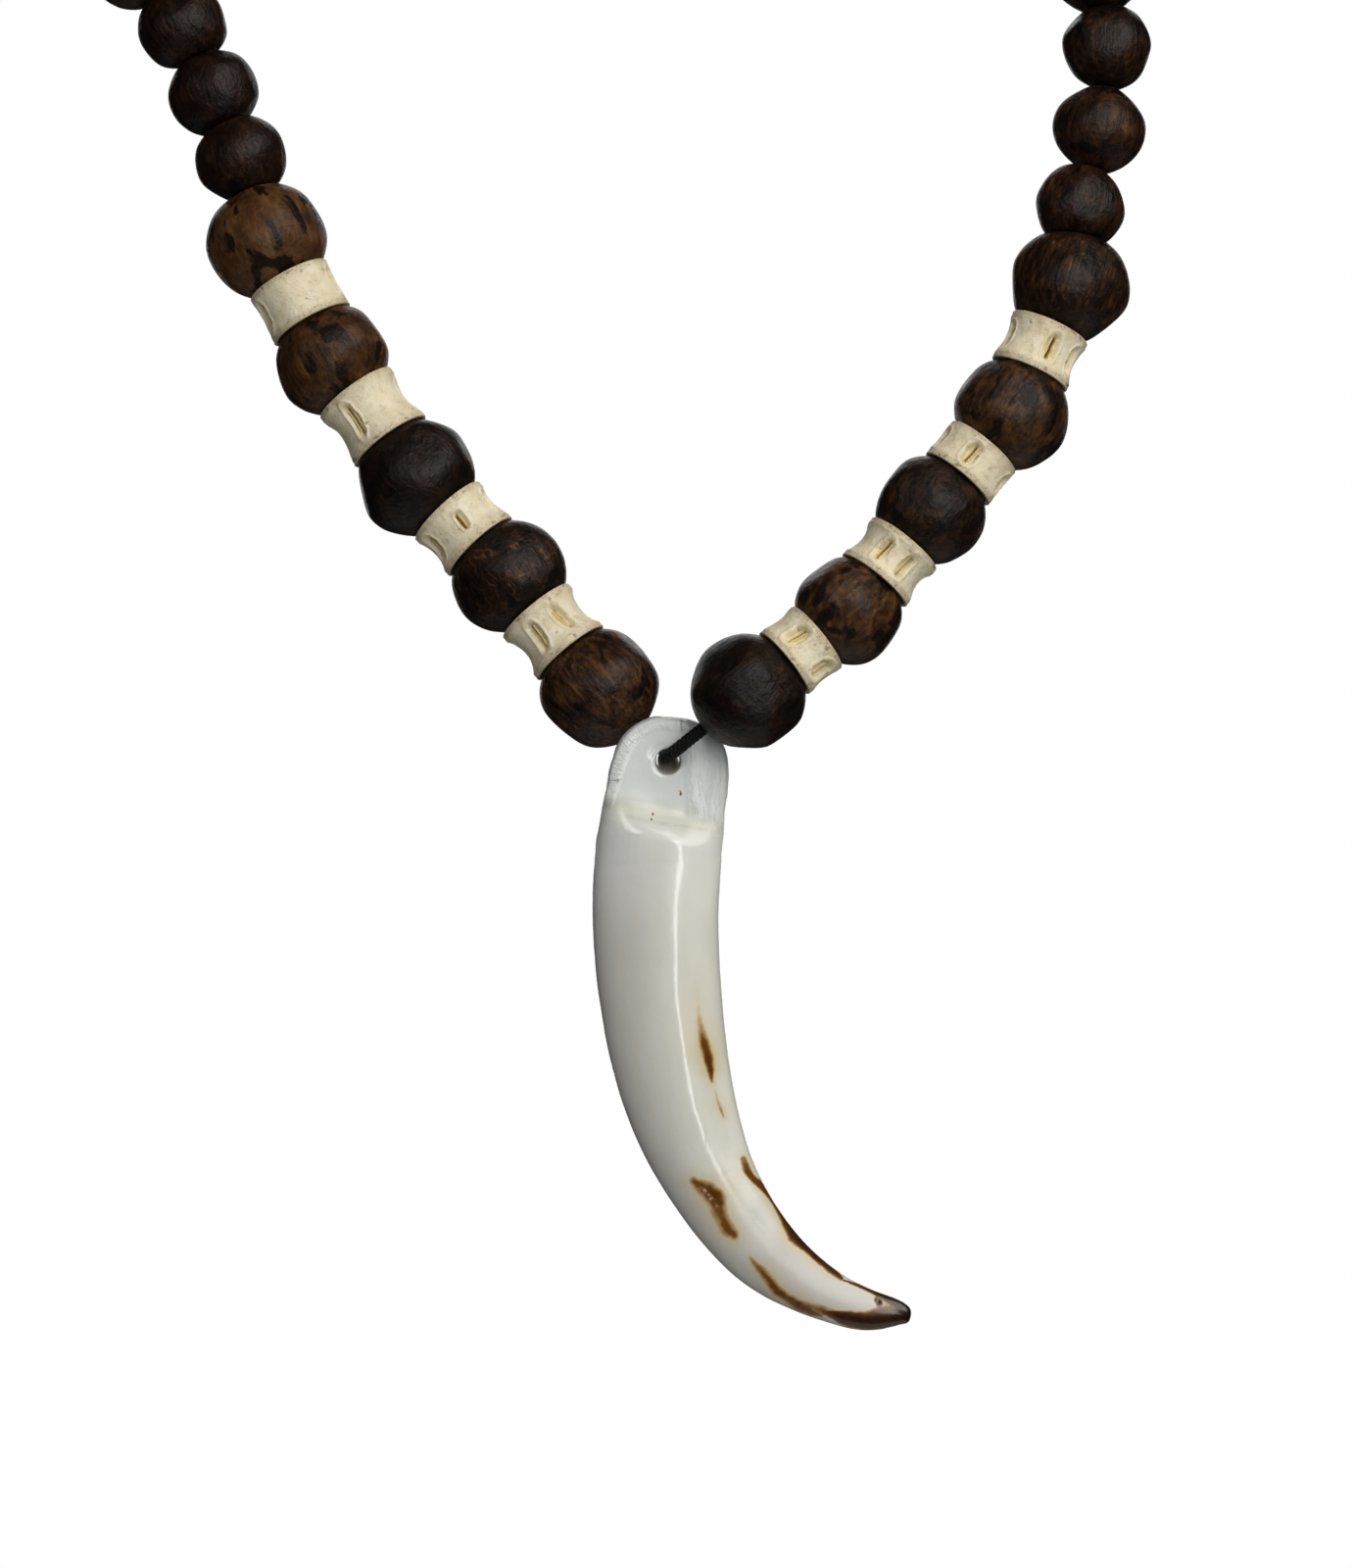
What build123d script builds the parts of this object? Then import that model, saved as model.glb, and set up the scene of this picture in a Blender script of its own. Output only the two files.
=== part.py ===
from build123d import *
from math import cos, radians, sin, sqrt
import os

os.makedirs("parts", exist_ok=True)

# Everything is laid out from the middle of the pendant's hole, then carried to the nape, in mm.
# X runs to the viewer's right, Y away from the viewer, Z up.
DROP = 120.0              # hole below the nape
REACH = 106.0             # hole in front of the nape

CORD_R = 0.8
BORE_R = 1.1
GAP = 0.12                # between neighbouring balls
SEAT_GAP = 0.15           # between a ball and the spacer that cups it
CORD_BEND = 3.0           # how tightly the cord turns where two beads meet
EDGE_SOFT = 0.3

# pendant
TAB_HALF = 1.8            # half thickness of the flat ground tab
HOLE_R = 1.2
MOUTH_SOFT = 0.4
TUSK_DROP = 57.0          # tip below the hole
TUSK_WIDTH = 12.6
TUSK_THICK = 7.6
STEP_SPOT = (-0.7, -3.2)  # where the grinding starts to run out, x and z
STEP_TILT = 15.2
STEP_SCOOP = 2.6

# the cord inside the pendant's hole
CORD_LIFT = 0.32          # it bears on the top of the hole
CORD_STAND = TAB_HALF + CORD_R + 0.2
CORD_TURN = 1.6

# strands, seen from the front and leaning back as they rise: the lowest ball on the left hangs behind
# the pendant's tab and the one on the right before it, which leaves the pendant room to swing
LEFT_Y = 4.5
RIGHT_Y = -4.5
LEAN_LOW = 0.165
LEAN_GAIN = 0.00048

# name, ball centre x, ball centre z, ball radius, from the pendant upward
LEFT_BALLS = [
    ("wood_left_1", -6.32, 7.69, 5.77),
    ("wood_left_2", -14.61, 19.08, 5.57),
    ("wood_left_3", -23.11, 29.47, 5.80),
    ("wood_left_4", -30.81, 41.55, 5.49),
    ("wood_left_5", -36.54, 53.68, 5.77),
    ("small_left_1", -38.68, 61.99, 4.42),
    ("small_left_2", -41.02, 68.73, 4.36),
    ("small_left_3", -43.74, 75.57, 4.42),
]
RIGHT_BALLS = [
    ("wood_right_1", 8.22, 6.38, 5.62),
    ("wood_right_2", 18.60, 13.76, 5.25),
    ("wood_right_3", 27.16, 23.08, 5.40),
    ("wood_right_4", 35.68, 32.24, 5.52),
    ("wood_right_5", 42.10, 44.40, 5.73),
    ("small_right_1", 43.58, 52.18, 4.35),
    ("small_right_2", 45.99, 59.75, 4.40),
    ("small_right_3", 47.26, 67.83, 4.34),
]

# name, rim radius, waist depth, pits as (angle from the front, length, width)
LEFT_BONES = [
    ("bone_left_1", 4.18, 0.75, [(-24, 3.4, 1.3), (28, 3.2, 1.3), (110, 3.0, 1.2), (178, 3.2, 1.2), (-115, 3.0, 1.3)]),
    ("bone_left_2", 4.24, 0.45, [(7, 2.2, 0.9), (-58, 3.0, 1.3), (75, 2.8, 1.1), (150, 3.0, 1.3), (-130, 2.8, 1.2)]),
    ("bone_left_3", 4.28, 0.65, [(-26, 3.9, 1.1), (-95, 3.4, 1.2), (85, 3.2, 1.2), (165, 3.6, 1.2)]),
    ("bone_left_4", 4.24, 0.20, [(-66, 3.2, 1.2), (74, 3.0, 1.1), (145, 3.0, 1.1), (-140, 3.0, 1.1)]),
]
RIGHT_BONES = [
    ("bone_right_1", 3.86, 0.20, [(-22, 2.6, 1.5), (50, 2.5, 1.6), (128, 2.4, 1.4), (-120, 2.4, 1.4)]),
    ("bone_right_2", 4.05, 0.60, [(-21, 2.7, 1.2), (24, 3.0, 1.1), (95, 2.6, 1.2), (170, 2.8, 1.2), (-100, 2.6, 1.2)]),
    ("bone_right_3", 4.00, 0.15, [(-8, 2.6, 1.4), (-75, 2.4, 1.2), (70, 2.4, 1.2), (170, 2.6, 1.3)]),
    ("bone_right_4", 4.02, 0.42, [(14, 3.0, 1.3), (60, 2.9, 1.2), (135, 2.9, 1.2), (-70, 2.8, 1.2), (-145, 2.9, 1.2)]),
]
PIT_FLOOR = 0.95
RIB_WIDTH = 0.28
RIB_SUNK = 0.45

# the plain strings round the neck: ball size, spacing, and the points their route passes, as x,
# then back and up as shares of the way from the last ball of the table to the clasp
STRING_R = 4.4
STRING_PITCH = 7.75
LEFT_ROUTE = [
    (-48.2, 0.0203, 0.1492),
    (-53.0, 0.1159, 0.4036),
    (-54.0, 0.2936, 0.6511),
    (-49.5, 0.5157, 0.8312),
    (-38.0, 0.7490, 0.9392),
    (-21.0, 0.9322, 0.9910),
]
RIGHT_ROUTE = [
    (46.8, 0.0241, 0.1604),
    (48.0, 0.0814, 0.3579),
    (50.5, 0.1805, 0.5495),
    (52.0, 0.3369, 0.7182),
    (48.5, 0.5454, 0.8582),
    (38.0, 0.7644, 0.9482),
    (21.0, 0.9364, 0.9923),
]

# barrel clasp
CLASP_HALF = 5.6
CLASP_R = 2.6
CLASP_END_R = 1.9
CLASP_BORE_R = 0.95
CLASP_BORE_DEPTH = 4.0
CLASP_GROOVE = 0.3
CLASP_CLEAR = 0.6         # bare cord between the last bead and the clasp

# tusk sections from the top of the tab to the tip: across and down as shares of TUSK_DROP, heading in
# degrees from straight down, width as a share of TUSK_WIDTH, front and back depth as shares of
# TUSK_THICK, ridge offset as a share of the width
TUSK_SECTIONS = [
    (0.0203, -0.0777, -10.2, 0.222, 0.110, 0.110, 0.00),
    (0.0191, -0.0699, -10.2, 0.452, 0.225, 0.225, 0.00),
    (0.0167, -0.0565, -10.2, 0.640, 0.300, 0.300, 0.00),
    (0.0129, -0.0374, -10.2, 0.792, 0.345, 0.345, 0.00),
    (0.0075, -0.0122, -10.2, 0.888, 0.370, 0.370, 0.00),
    (-0.0012, 0.0260, -10.2, 0.952, 0.385, 0.390, 0.02),
    (-0.0187, 0.1167, -10.2, 1.000, 0.430, 0.430, 0.06),
    (-0.0357, 0.2479, -4.2, 0.992, 0.500, 0.480, 0.10),
    (-0.0373, 0.3799, 2.8, 0.968, 0.500, 0.490, 0.11),
    (-0.0260, 0.5117, 8.8, 0.913, 0.470, 0.470, 0.10),
    (0.0024, 0.6407, 17.8, 0.810, 0.420, 0.420, 0.08),
    (0.0522, 0.7578, 30.8, 0.685, 0.360, 0.350, 0.05),
    (0.1285, 0.8645, 44.8, 0.565, 0.290, 0.280, 0.02),
    (0.2368, 0.9402, 63.8, 0.390, 0.200, 0.190, 0.00),
    (0.3040, 0.9649, 72.8, 0.300, 0.150, 0.150, 0.00),
    (0.3368, 0.9692, 74.8, 0.215, 0.115, 0.115, 0.00),
    (0.3630, 0.9774, 75.8, 0.100, 0.060, 0.060, 0.00),
]

FRONT = Vector(0, -1, 0)


def to_nape(shape):
    return Pos(0, -REACH, -DROP) * shape


def rod(start, end, radius, over=0.0):
    run = end - start
    along = run.normalized()
    return extrude(Plane(start - along * over, z_dir=along) * Circle(radius), amount=run.length + 2 * over)


def ball_places(balls, first_y):
    places = []
    run = 0.0
    for i, (name, x, z, r) in enumerate(balls):
        if i:
            run += sqrt((x - balls[i - 1][1]) ** 2 + (z - balls[i - 1][2]) ** 2)
        places.append(Vector(x, first_y + LEAN_LOW * run + LEAN_GAIN * run * run, z))
    return places


def string_places(start, route, mouth):
    way = mouth - start
    points = [Vector(x, start.Y + back * way.Y, start.Z + up * way.Z) for x, back, up in route]
    path = Spline(start, *points, mouth)
    fill = path.length - CLASP_CLEAR
    count = round(fill / STRING_PITCH - 0.5)
    pitch = fill / (count + 0.5)
    return [path @ (pitch * (i + 1) / path.length) for i in range(count)]


def meeting(near, near_r, far, far_r):
    # distance from the near centre to the plane where the two balls would cross
    d = (far - near).length
    return (d * d + near_r * near_r - far_r * far_r) / (2 * d)


def make_ball(centre, radius, start, end, flats):
    # flats: (direction, distance) of each flat end
    ball = Plane(centre, z_dir=(end - start).normalized()) * Sphere(radius)
    for way, distance in flats:
        ball = split(ball, Plane(centre + way * distance, z_dir=way), keep=Keep.BOTTOM)
    rims = [e for e in ball.edges().filter_by(GeomType.CIRCLE)
            if BORE_R + EDGE_SOFT + 0.1 < e.radius < radius - 0.01]
    if rims:
        ball = fillet(rims, EDGE_SOFT)
    return ball - rod(start, end, BORE_R, 2.0)


def make_bone(low, low_r, high, high_r, rim_r, waist, pits):
    axis = (high - low).normalized()
    rim_in = rim_r - 0.35
    low_seat = sqrt((low_r + SEAT_GAP) ** 2 - rim_in ** 2)
    high_seat = sqrt((high_r + SEAT_GAP) ** 2 - rim_in ** 2)
    half = ((high - low).length - low_seat - high_seat) / 2
    middle = low + axis * (low_seat + half)
    front = (FRONT - axis * FRONT.dot(axis)).normalized()
    band = 0.62
    soft = 0.14
    side = Polyline((0, half), (rim_r - soft, half), (rim_r, half - soft), (rim_r, half - band))
    dip = ThreePointArc((rim_r, half - band), (rim_r - waist, 0), (rim_r, band - half))
    base = Polyline((rim_r, band - half), (rim_r, soft - half), (rim_r - soft, -half), (0, -half), (0, half))
    body = revolve(Plane.XZ * make_face([side, dip, base]), Axis.Z)
    floor = rim_r - waist - PIT_FLOOR
    for angle, length, width in pits:
        face = Plane.YZ.offset(floor) * SlotOverall(min(length, 2 * half - 0.9), width, rotation=90)
        rib_high = PIT_FLOOR - RIB_SUNK
        rib = Pos(floor + rib_high / 2, 0, 0) * Box(rib_high, RIB_WIDTH, length + 1)
        body -= Rot(0, 0, angle) * (extrude(face, amount=PIT_FLOOR + waist + 1) - rib)
    body = Plane(middle, x_dir=front, z_dir=axis) * body
    body -= rod(low, high, BORE_R)
    body -= Plane(low, x_dir=front, z_dir=axis) * Sphere(low_r + SEAT_GAP)
    return body - Plane(high, x_dir=front, z_dir=axis) * Sphere(high_r + SEAT_GAP)


def tusk_section(row):
    across, down, heading, width, front, back, ridge = row
    a = radians(heading)
    plane = Plane(
        (across * TUSK_DROP, 0, -down * TUSK_DROP), x_dir=(cos(a), 0, sin(a)), z_dir=(sin(a), 0, -cos(a)))
    w = width * TUSK_WIDTH
    crest = ridge * w
    right = EllipticalCenterArc((crest, 0), w / 2 - crest, front * TUSK_THICK, 0, arc_size=90)
    left = EllipticalCenterArc((crest, 0), w / 2 + crest, front * TUSK_THICK, 90, arc_size=90)
    rear = EllipticalCenterArc((0, 0), w / 2, back * TUSK_THICK, 180, arc_size=180)
    return plane * make_face([right, left, rear])


def grinding():
    # what the grinding takes off one face of the tab, with a scooped run-out
    block = Pos(0, 0, 15) * Box(30, 2 * STEP_SCOOP, 30) + Rot(0, 90, 0) * Cylinder(STEP_SCOOP, 30)
    return Pos(STEP_SPOT[0], 0, STEP_SPOT[1]) * Rot(0, STEP_TILT, 0) * block


def make_pendant():
    body = loft([tusk_section(row) for row in TUSK_SECTIONS])
    for side in (-1, 1):
        body -= Pos(0, side * (TAB_HALF + STEP_SCOOP), 0) * grinding()
    body -= Rot(90, 0, 0) * Cylinder(HOLE_R, 30)
    mouths = [e for e in body.edges().filter_by(GeomType.CIRCLE)
              if abs(e.radius - HOLE_R) < 0.01 and e.arc_center.length < TAB_HALF + 0.1]
    return fillet(mouths, MOUTH_SOFT)


def make_clasp():
    half = CLASP_HALF
    profile = make_face(Polyline(
        (0, -half), (CLASP_END_R - 0.3, -half), (CLASP_END_R, 0.3 - half), (CLASP_R, 2.2 - half),
        (CLASP_R, -CLASP_GROOVE), (CLASP_R - CLASP_GROOVE, 0), (CLASP_R, CLASP_GROOVE),
        (CLASP_R, half - 2.2), (CLASP_END_R, half - 0.3), (CLASP_END_R - 0.3, half), (0, half), (0, -half)))
    barrel = Rot(0, 90, 0) * revolve(Plane.XZ * profile, Axis.Z)
    for side in (-1, 1):
        barrel -= Pos(side * half, 0, 0) * Rot(0, 90, 0) * Cylinder(CLASP_BORE_R, 2 * CLASP_BORE_DEPTH)
    return Pos(0, REACH + CLASP_R, DROP) * barrel


def cord_stops(places, radii, bones, first, last):
    # where the cord enters and leaves each ball, from the pendant to the clasp
    stops = []
    for i, (c, r) in enumerate(zip(places, radii)):
        if i <= bones:
            before = places[i - 1] if i else first
            enter = c + (before - c).normalized() * r
        else:
            enter = c + (places[i - 1] - c).normalized() * meeting(c, r, places[i - 1], radii[i - 1])
        if i == len(places) - 1:
            leave = c + (last - c).normalized() * (STRING_PITCH / 2)
        elif i < bones:
            leave = c + (places[i + 1] - c).normalized() * r
        else:
            leave = c + (places[i + 1] - c).normalized() * meeting(c, r, places[i + 1], radii[i + 1])
        stops.append((enter, leave))
    return stops


def make_strand(balls, first_y, bones, route, mouth, first, side):
    places = ball_places(balls, first_y)
    radii = [row[3] for row in balls]
    extra = string_places(places[-1], route, mouth)
    places += extra
    radii += [STRING_R] * len(extra)
    stops = cord_stops(places, radii, len(bones), first, mouth)
    pieces = {}
    string = []
    for i, (c, r) in enumerate(zip(places, radii)):
        enter, leave = stops[i]
        flats = []
        if i > len(bones):
            flats.append(((enter - c).normalized(), (enter - c).length - GAP / 2))
        if i >= len(bones):
            flats.append(((leave - c).normalized(), (leave - c).length - GAP / 2))
        ball = make_ball(c, r, enter, leave, flats)
        if i < len(balls):
            pieces[balls[i][0]] = ball
        else:
            string.append(ball)
    for i, (name, rim_r, waist, pits) in enumerate(bones):
        pieces[name] = make_bone(places[i], radii[i], places[i + 1], radii[i + 1], rim_r, waist, pits)
    pieces["string_" + side] = Compound(string)
    return pieces, stops


def cord_corners(stops, mouth, inner):
    corners = [stops[0][0]]
    for i, (enter, leave) in enumerate(stops):
        if i and (enter - corners[-1]).length > 0.5:
            corners.append(enter)
        corners.append(leave)
    return corners + [mouth, inner]


def make_cord(left_stops, right_stops, mouth_left, mouth_right, behind, before):
    depth = CLASP_BORE_DEPTH - 0.4
    left = cord_corners(left_stops, mouth_left, mouth_left + Vector(depth, 0, 0))
    right = cord_corners(right_stops, mouth_right, mouth_right - Vector(depth, 0, 0))
    corners = left[::-1] + [behind, before] + right
    turns = [CORD_BEND] * (len(left) - 1) + [CORD_TURN] * 2 + [CORD_BEND] * (len(right) - 1)
    path = FilletPolyline(*corners, radius=turns)
    start = Plane(path @ 0, z_dir=path % 0)
    cord = sweep(start * Circle(CORD_R), path=path)
    print("cord length %.1f, volume over section times length %.4f" % (
        path.length, cord.volume / (path.length * 3.14159265 * CORD_R ** 2)))
    return cord


behind = Vector(0, CORD_STAND, CORD_LIFT)
before = Vector(0, -CORD_STAND, CORD_LIFT)
mouth_left = Vector(-CLASP_HALF, REACH + CLASP_R, DROP)
mouth_right = Vector(CLASP_HALF, REACH + CLASP_R, DROP)

left_pieces, left_stops = make_strand(
    LEFT_BALLS, LEFT_Y, LEFT_BONES, LEFT_ROUTE, mouth_left, behind, "left")
right_pieces, right_stops = make_strand(
    RIGHT_BALLS, RIGHT_Y, RIGHT_BONES, RIGHT_ROUTE, mouth_right, before, "right")

pieces = {}
pieces.update(left_pieces)
pieces.update(right_pieces)
pieces["pendant"] = make_pendant()
pieces["clasp"] = make_clasp()
pieces["thread"] = make_cord(left_stops, right_stops, mouth_left, mouth_right, behind, before)

for name, shape in pieces.items():
    export_step(to_nape(shape), "parts/%s.step" % name)
    print("%-16s solids %d  volume %.1f mm3" % (name, len(shape.solids()), shape.volume))

pendant = pieces["pendant"]
middle = pendant.center(CenterOf.MASS)
print("pendant centre of mass x %.2f z %.2f" % (middle.X, middle.Z))
print("balls in the strings %d and %d" % (len(left_pieces["string_left"].solids()),
                                          len(right_pieces["string_right"].solids())))
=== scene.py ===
from functools import partial
from math import cos, pi, radians, sin, sqrt

import bmesh
import bpy
import numpy as np
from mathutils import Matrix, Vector, noise


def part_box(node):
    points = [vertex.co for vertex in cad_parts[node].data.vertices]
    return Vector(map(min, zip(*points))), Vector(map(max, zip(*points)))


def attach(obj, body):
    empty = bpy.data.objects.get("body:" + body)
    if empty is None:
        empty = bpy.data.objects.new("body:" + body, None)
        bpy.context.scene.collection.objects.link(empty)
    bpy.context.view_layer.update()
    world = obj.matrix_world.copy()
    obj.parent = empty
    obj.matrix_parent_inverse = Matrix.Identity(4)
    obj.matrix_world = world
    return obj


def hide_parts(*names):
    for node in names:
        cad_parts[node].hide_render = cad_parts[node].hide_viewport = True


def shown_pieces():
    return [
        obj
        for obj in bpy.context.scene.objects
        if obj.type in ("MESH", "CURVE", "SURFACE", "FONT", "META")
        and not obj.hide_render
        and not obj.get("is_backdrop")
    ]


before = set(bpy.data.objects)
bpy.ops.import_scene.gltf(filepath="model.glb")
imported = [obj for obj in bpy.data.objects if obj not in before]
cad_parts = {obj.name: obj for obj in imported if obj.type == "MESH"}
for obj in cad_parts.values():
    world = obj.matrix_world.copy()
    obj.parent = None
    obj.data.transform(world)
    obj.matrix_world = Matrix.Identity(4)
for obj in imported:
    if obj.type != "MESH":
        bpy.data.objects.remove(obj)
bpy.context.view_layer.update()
scene = bpy.context.scene
mm = 0.001
hole = Vector((0.0, -0.106, -0.120))   # middle of the pendant's hole


def toLinear(hexColour):
    parts = [int(hexColour[i:i + 2], 16) / 255 for i in (1, 3, 5)]
    return tuple(c / 12.92 if c <= 0.04045 else ((c + 0.055) / 1.055) ** 2.4 for c in parts) + (1.0,)


def addNode(tree, kind, inputs=(), operation=None, **settings):
    # inputs are given in order or by name among the sockets in use, as a value, a hex colour, a socket or a node
    prefix = next(p for p in ("ShaderNode", "GeometryNode", "FunctionNode", "") if hasattr(bpy.types, p + kind))
    made = tree.nodes.new(prefix + kind)
    for name, value in settings.items():
        setattr(made, name, value)
    if operation:
        made.operation = operation
    inUse = [s for s in made.inputs if s.enabled]
    for key, value in inputs.items() if isinstance(inputs, dict) else enumerate(inputs):
        socket = inUse[key] if isinstance(key, int) else next(s for s in inUse if s.name == key)
        if isinstance(value, bpy.types.Node):
            value = next(s for s in value.outputs if s.enabled)
        if isinstance(value, bpy.types.NodeSocket):
            tree.links.new(value, socket)
        else:
            socket.default_value = toLinear(value) if str(value).startswith("#") else value
    return made


def setRamp(rampNode, stops):
    ramp = rampNode.color_ramp
    while len(ramp.elements) < len(stops):
        ramp.elements.new(0.5)
    for element, (place, colour) in zip(ramp.elements, stops):
        element.position = place
        element.color = toLinear(colour)


def newTree(name, sizes):
    # the tree's inputs take their names, kinds and first values from the piece's settings
    tree = bpy.data.node_groups.new(name, "GeometryNodeTree")
    tree.interface.new_socket("Geometry", in_out="INPUT", socket_type="NodeSocketGeometry")
    for label, value in sizes.items():
        kind = "NodeSocketInt" if isinstance(value, int) else "NodeSocketFloat"
        tree.interface.new_socket(label, in_out="INPUT", socket_type=kind).default_value = value
    tree.interface.new_socket("Material", in_out="INPUT", socket_type="NodeSocketMaterial")
    tree.interface.new_socket("Geometry", in_out="OUTPUT", socket_type="NodeSocketGeometry")
    return tree, partial(addNode, tree)


def finishTree(add, shape, material):
    smooth = add("SetShadeSmooth", {"Geometry": shape})
    real = add("RealizeInstances", {"Geometry": smooth})
    finished = add("SetMaterial", {"Geometry": real, "Material": material})
    add("NodeGroupOutput", {"Geometry": finished})


def bakedMesh(piece):
    # what the piece's modifiers or spline make of it, as a plain mesh
    graph = bpy.context.evaluated_depsgraph_get()
    return bpy.data.meshes.new_from_object(
        piece.evaluated_get(graph), preserve_all_data_layers=True, depsgraph=graph)


def growMesh(name, tree, seedMesh, values):
    # runs a node tree once and keeps its result as a plain mesh
    piece = bpy.data.objects.new(name, seedMesh)
    scene.collection.objects.link(piece)
    modifier = piece.modifiers.new("grow", "NODES")
    modifier.node_group = tree
    for item in tree.interface.items_tree:
        if item.in_out == "INPUT" and item.name in values:
            modifier[item.identifier] = values[item.name]
    piece.update_tag()
    grown = bakedMesh(piece)
    piece.modifiers.remove(modifier)
    piece.data = grown
    grown.name = name
    return piece


def setValues(mesh, name, values, kind="FLOAT"):
    # one value for each point of the mesh
    layer = mesh.attributes.new(name, kind, "POINT")
    flat = np.asarray(values, dtype=np.int32 if kind == "INT" else np.float32).ravel()
    layer.data.foreach_set("vector" if kind == "FLOAT_VECTOR" else "value", flat)


def meshPoints(mesh):
    found = np.empty(len(mesh.vertices) * 3)
    mesh.vertices.foreach_get("co", found)
    return found.reshape(-1, 3)


def mergedCopy(nodeName):
    copy = bmesh.new()
    copy.from_mesh(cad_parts[nodeName].data)
    bmesh.ops.remove_doubles(copy, verts=copy.verts, dist=2e-6)
    return copy


def noiseAt(points, scale, shift):
    # gentle random field between about -1 and 1, points in mm
    return np.array([noise.noise(Vector(p) * scale + Vector(shift)) for p in points])


viewSettings = {
    "distance": 2.4,          # long, so that the loop is seen nearly without perspective
    "shownHeight": 0.15385,
    "rollDegrees": 3.35,      # the pendant hangs plumb and the picture leans
    "aimX": 0.000644,
    "aimZ": -0.122156,
}
cameraData = bpy.data.cameras.new("camera")
cameraData.sensor_width = 36
cameraData.lens = 36 * viewSettings["distance"] / viewSettings["shownHeight"]
cameraData.clip_start = 0.05
cameraData.clip_end = 20
camera = bpy.data.objects.new("camera", cameraData)
camera.location = (viewSettings["aimX"], hole.y - viewSettings["distance"], viewSettings["aimZ"])
camera.rotation_euler = (radians(90), radians(viewSettings["rollDegrees"]), 0)
scene.collection.objects.link(camera)
scene.camera = camera

scene.view_settings.view_transform = "Standard"
scene.view_settings.look = "None"

# name, middle, width, height, power, colour, all in metres and watts
lampRows = [
    ("rightSoftbox", (0.50, -0.655, 0.391), 0.80, 0.80, 5.5, "#fffbf4"),
    ("tallWindow", (0.255, -0.945, -0.02), 0.17, 0.66, 2.0, "#ffffff"),
    ("leftLamp", (-0.387, -0.833, 0.35), 0.24, 0.30, 1.0, "#ffffff"),
    ("backSoftbox", (0.0, 0.90, 0.15), 0.80, 0.80, 3.6, "#ffffff"),
]
for lampName, place, width, height, power, colour in lampRows:
    lampData = bpy.data.lights.new(lampName, "AREA")
    lampData.shape = "RECTANGLE"
    lampData.size = width
    lampData.size_y = height
    lampData.energy = power
    lampData.color = toLinear(colour)[:3]
    lamp = bpy.data.objects.new(lampName, lampData)
    lamp.location = place
    lamp.visible_camera = False
    toward = Vector((0.0, hole.y, -0.125)) - Vector(place)
    lamp.rotation_euler = toward.to_track_quat("-Z", "Y").to_euler()
    scene.collection.objects.link(lamp)

roomSettings = {"light": 0.10, "reflected": 0.02}      # a white room for the eye, a dimmer one for all else
world = bpy.data.worlds.new("paleStudio")
scene.world = world
world.use_nodes = True
world.node_tree.nodes.clear()
inWorld = partial(addNode, world.node_tree)
seen = inWorld("Background", {"Color": (1.0, 1.0, 1.0, 1.0), "Strength": 1.0})
path = inWorld("LightPath")
level = inWorld("MapRange", [path.outputs["Is Glossy Ray"], 0.0, 1.0, roomSettings["light"], roomSettings["reflected"]])
felt = inWorld("Background", {"Color": (0.97, 0.98, 1.0, 1.0), "Strength": level})
room = inWorld("MixShader", [path.outputs["Is Camera Ray"], felt, seen])
inWorld("OutputWorld", {"Surface": room})

floorSettings = {"level": -0.8, "halfWidth": 0.5, "colour": "#efeeeb", "roughness": 0.8, "glow": 0.65}
bpy.ops.mesh.primitive_circle_add(
    vertices=96, radius=floorSettings["halfWidth"], fill_type="NGON", location=(0, 0, floorSettings["level"]))
floor = bpy.context.object
floor.name = "floor"
paper = bpy.data.materials.new("matt white paper")
paper.use_nodes = True
paperSurface = paper.node_tree.nodes["Principled BSDF"]
paperSurface.inputs["Base Color"].default_value = toLinear(floorSettings["colour"])
paperSurface.inputs["Roughness"].default_value = floorSettings["roughness"]
# the paper is lit up for the eye alone, so that it throws no light on the beads
inPaper = partial(addNode, paper.node_tree)
paperPath = inPaper("LightPath")
paperGlow = inPaper("Math", [paperPath.outputs["Is Camera Ray"], floorSettings["glow"]], "MULTIPLY")
paperSurface.inputs["Emission Color"].default_value = toLinear(floorSettings["colour"])
paper.node_tree.links.new(paperGlow.outputs["Value"], paperSurface.inputs["Emission Strength"])
floor.data.materials.append(paper)
floor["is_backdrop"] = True
print("camera, light and floor are set")


def fitBall(points):
    # centre and radius of the sphere that most of the points lie on
    base = points.mean(axis=0)
    p = (points - base) / mm
    kept = p
    for _ in range(8):
        a = np.c_[2 * kept, np.ones(len(kept))]
        c = np.linalg.lstsq(a, (kept ** 2).sum(axis=1), rcond=None)[0]
        radius = sqrt(c[3] + c[:3] @ c[:3])
        off = np.abs(np.linalg.norm(p - c[:3], axis=1) - radius)
        kept = p[off < max(0.01, 0.8 * np.median(off))]
    return Vector(base + c[:3] * mm), radius * mm


def islands(nodeName):
    shape = mergedCopy(nodeName)
    left = set(shape.verts)
    groups = []
    while left:
        stack = [left.pop()]
        group = []
        while stack:
            vert = stack.pop()
            group.append(vert.co[:])
            for edge in vert.link_edges:
                other = edge.other_vert(vert)
                if other in left:
                    left.remove(other)
                    stack.append(other)
        groups.append(np.array(group))
    shape.free()
    return groups


cordSettings = {
    "stand": 2.8 * mm,        # how far it stands clear of the tab before it turns
    "lift": 0.32 * mm,        # it bears on the top of the hole and on its left
    "shift": -0.34 * mm,
    "behind": (0.25 * mm, 0, 0.95 * mm),      # the hole is higher at the back
    "flatLimit": 0.16 * mm,   # a ball that reaches less than its radius by this much is flat there
    "stopGap": 0.06 * mm,     # the cord bends this far off a flat end
}


def readBall(points):
    centre, radius = fitBall(points)
    return {"centre": centre, "radius": radius, "points": points}


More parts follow.
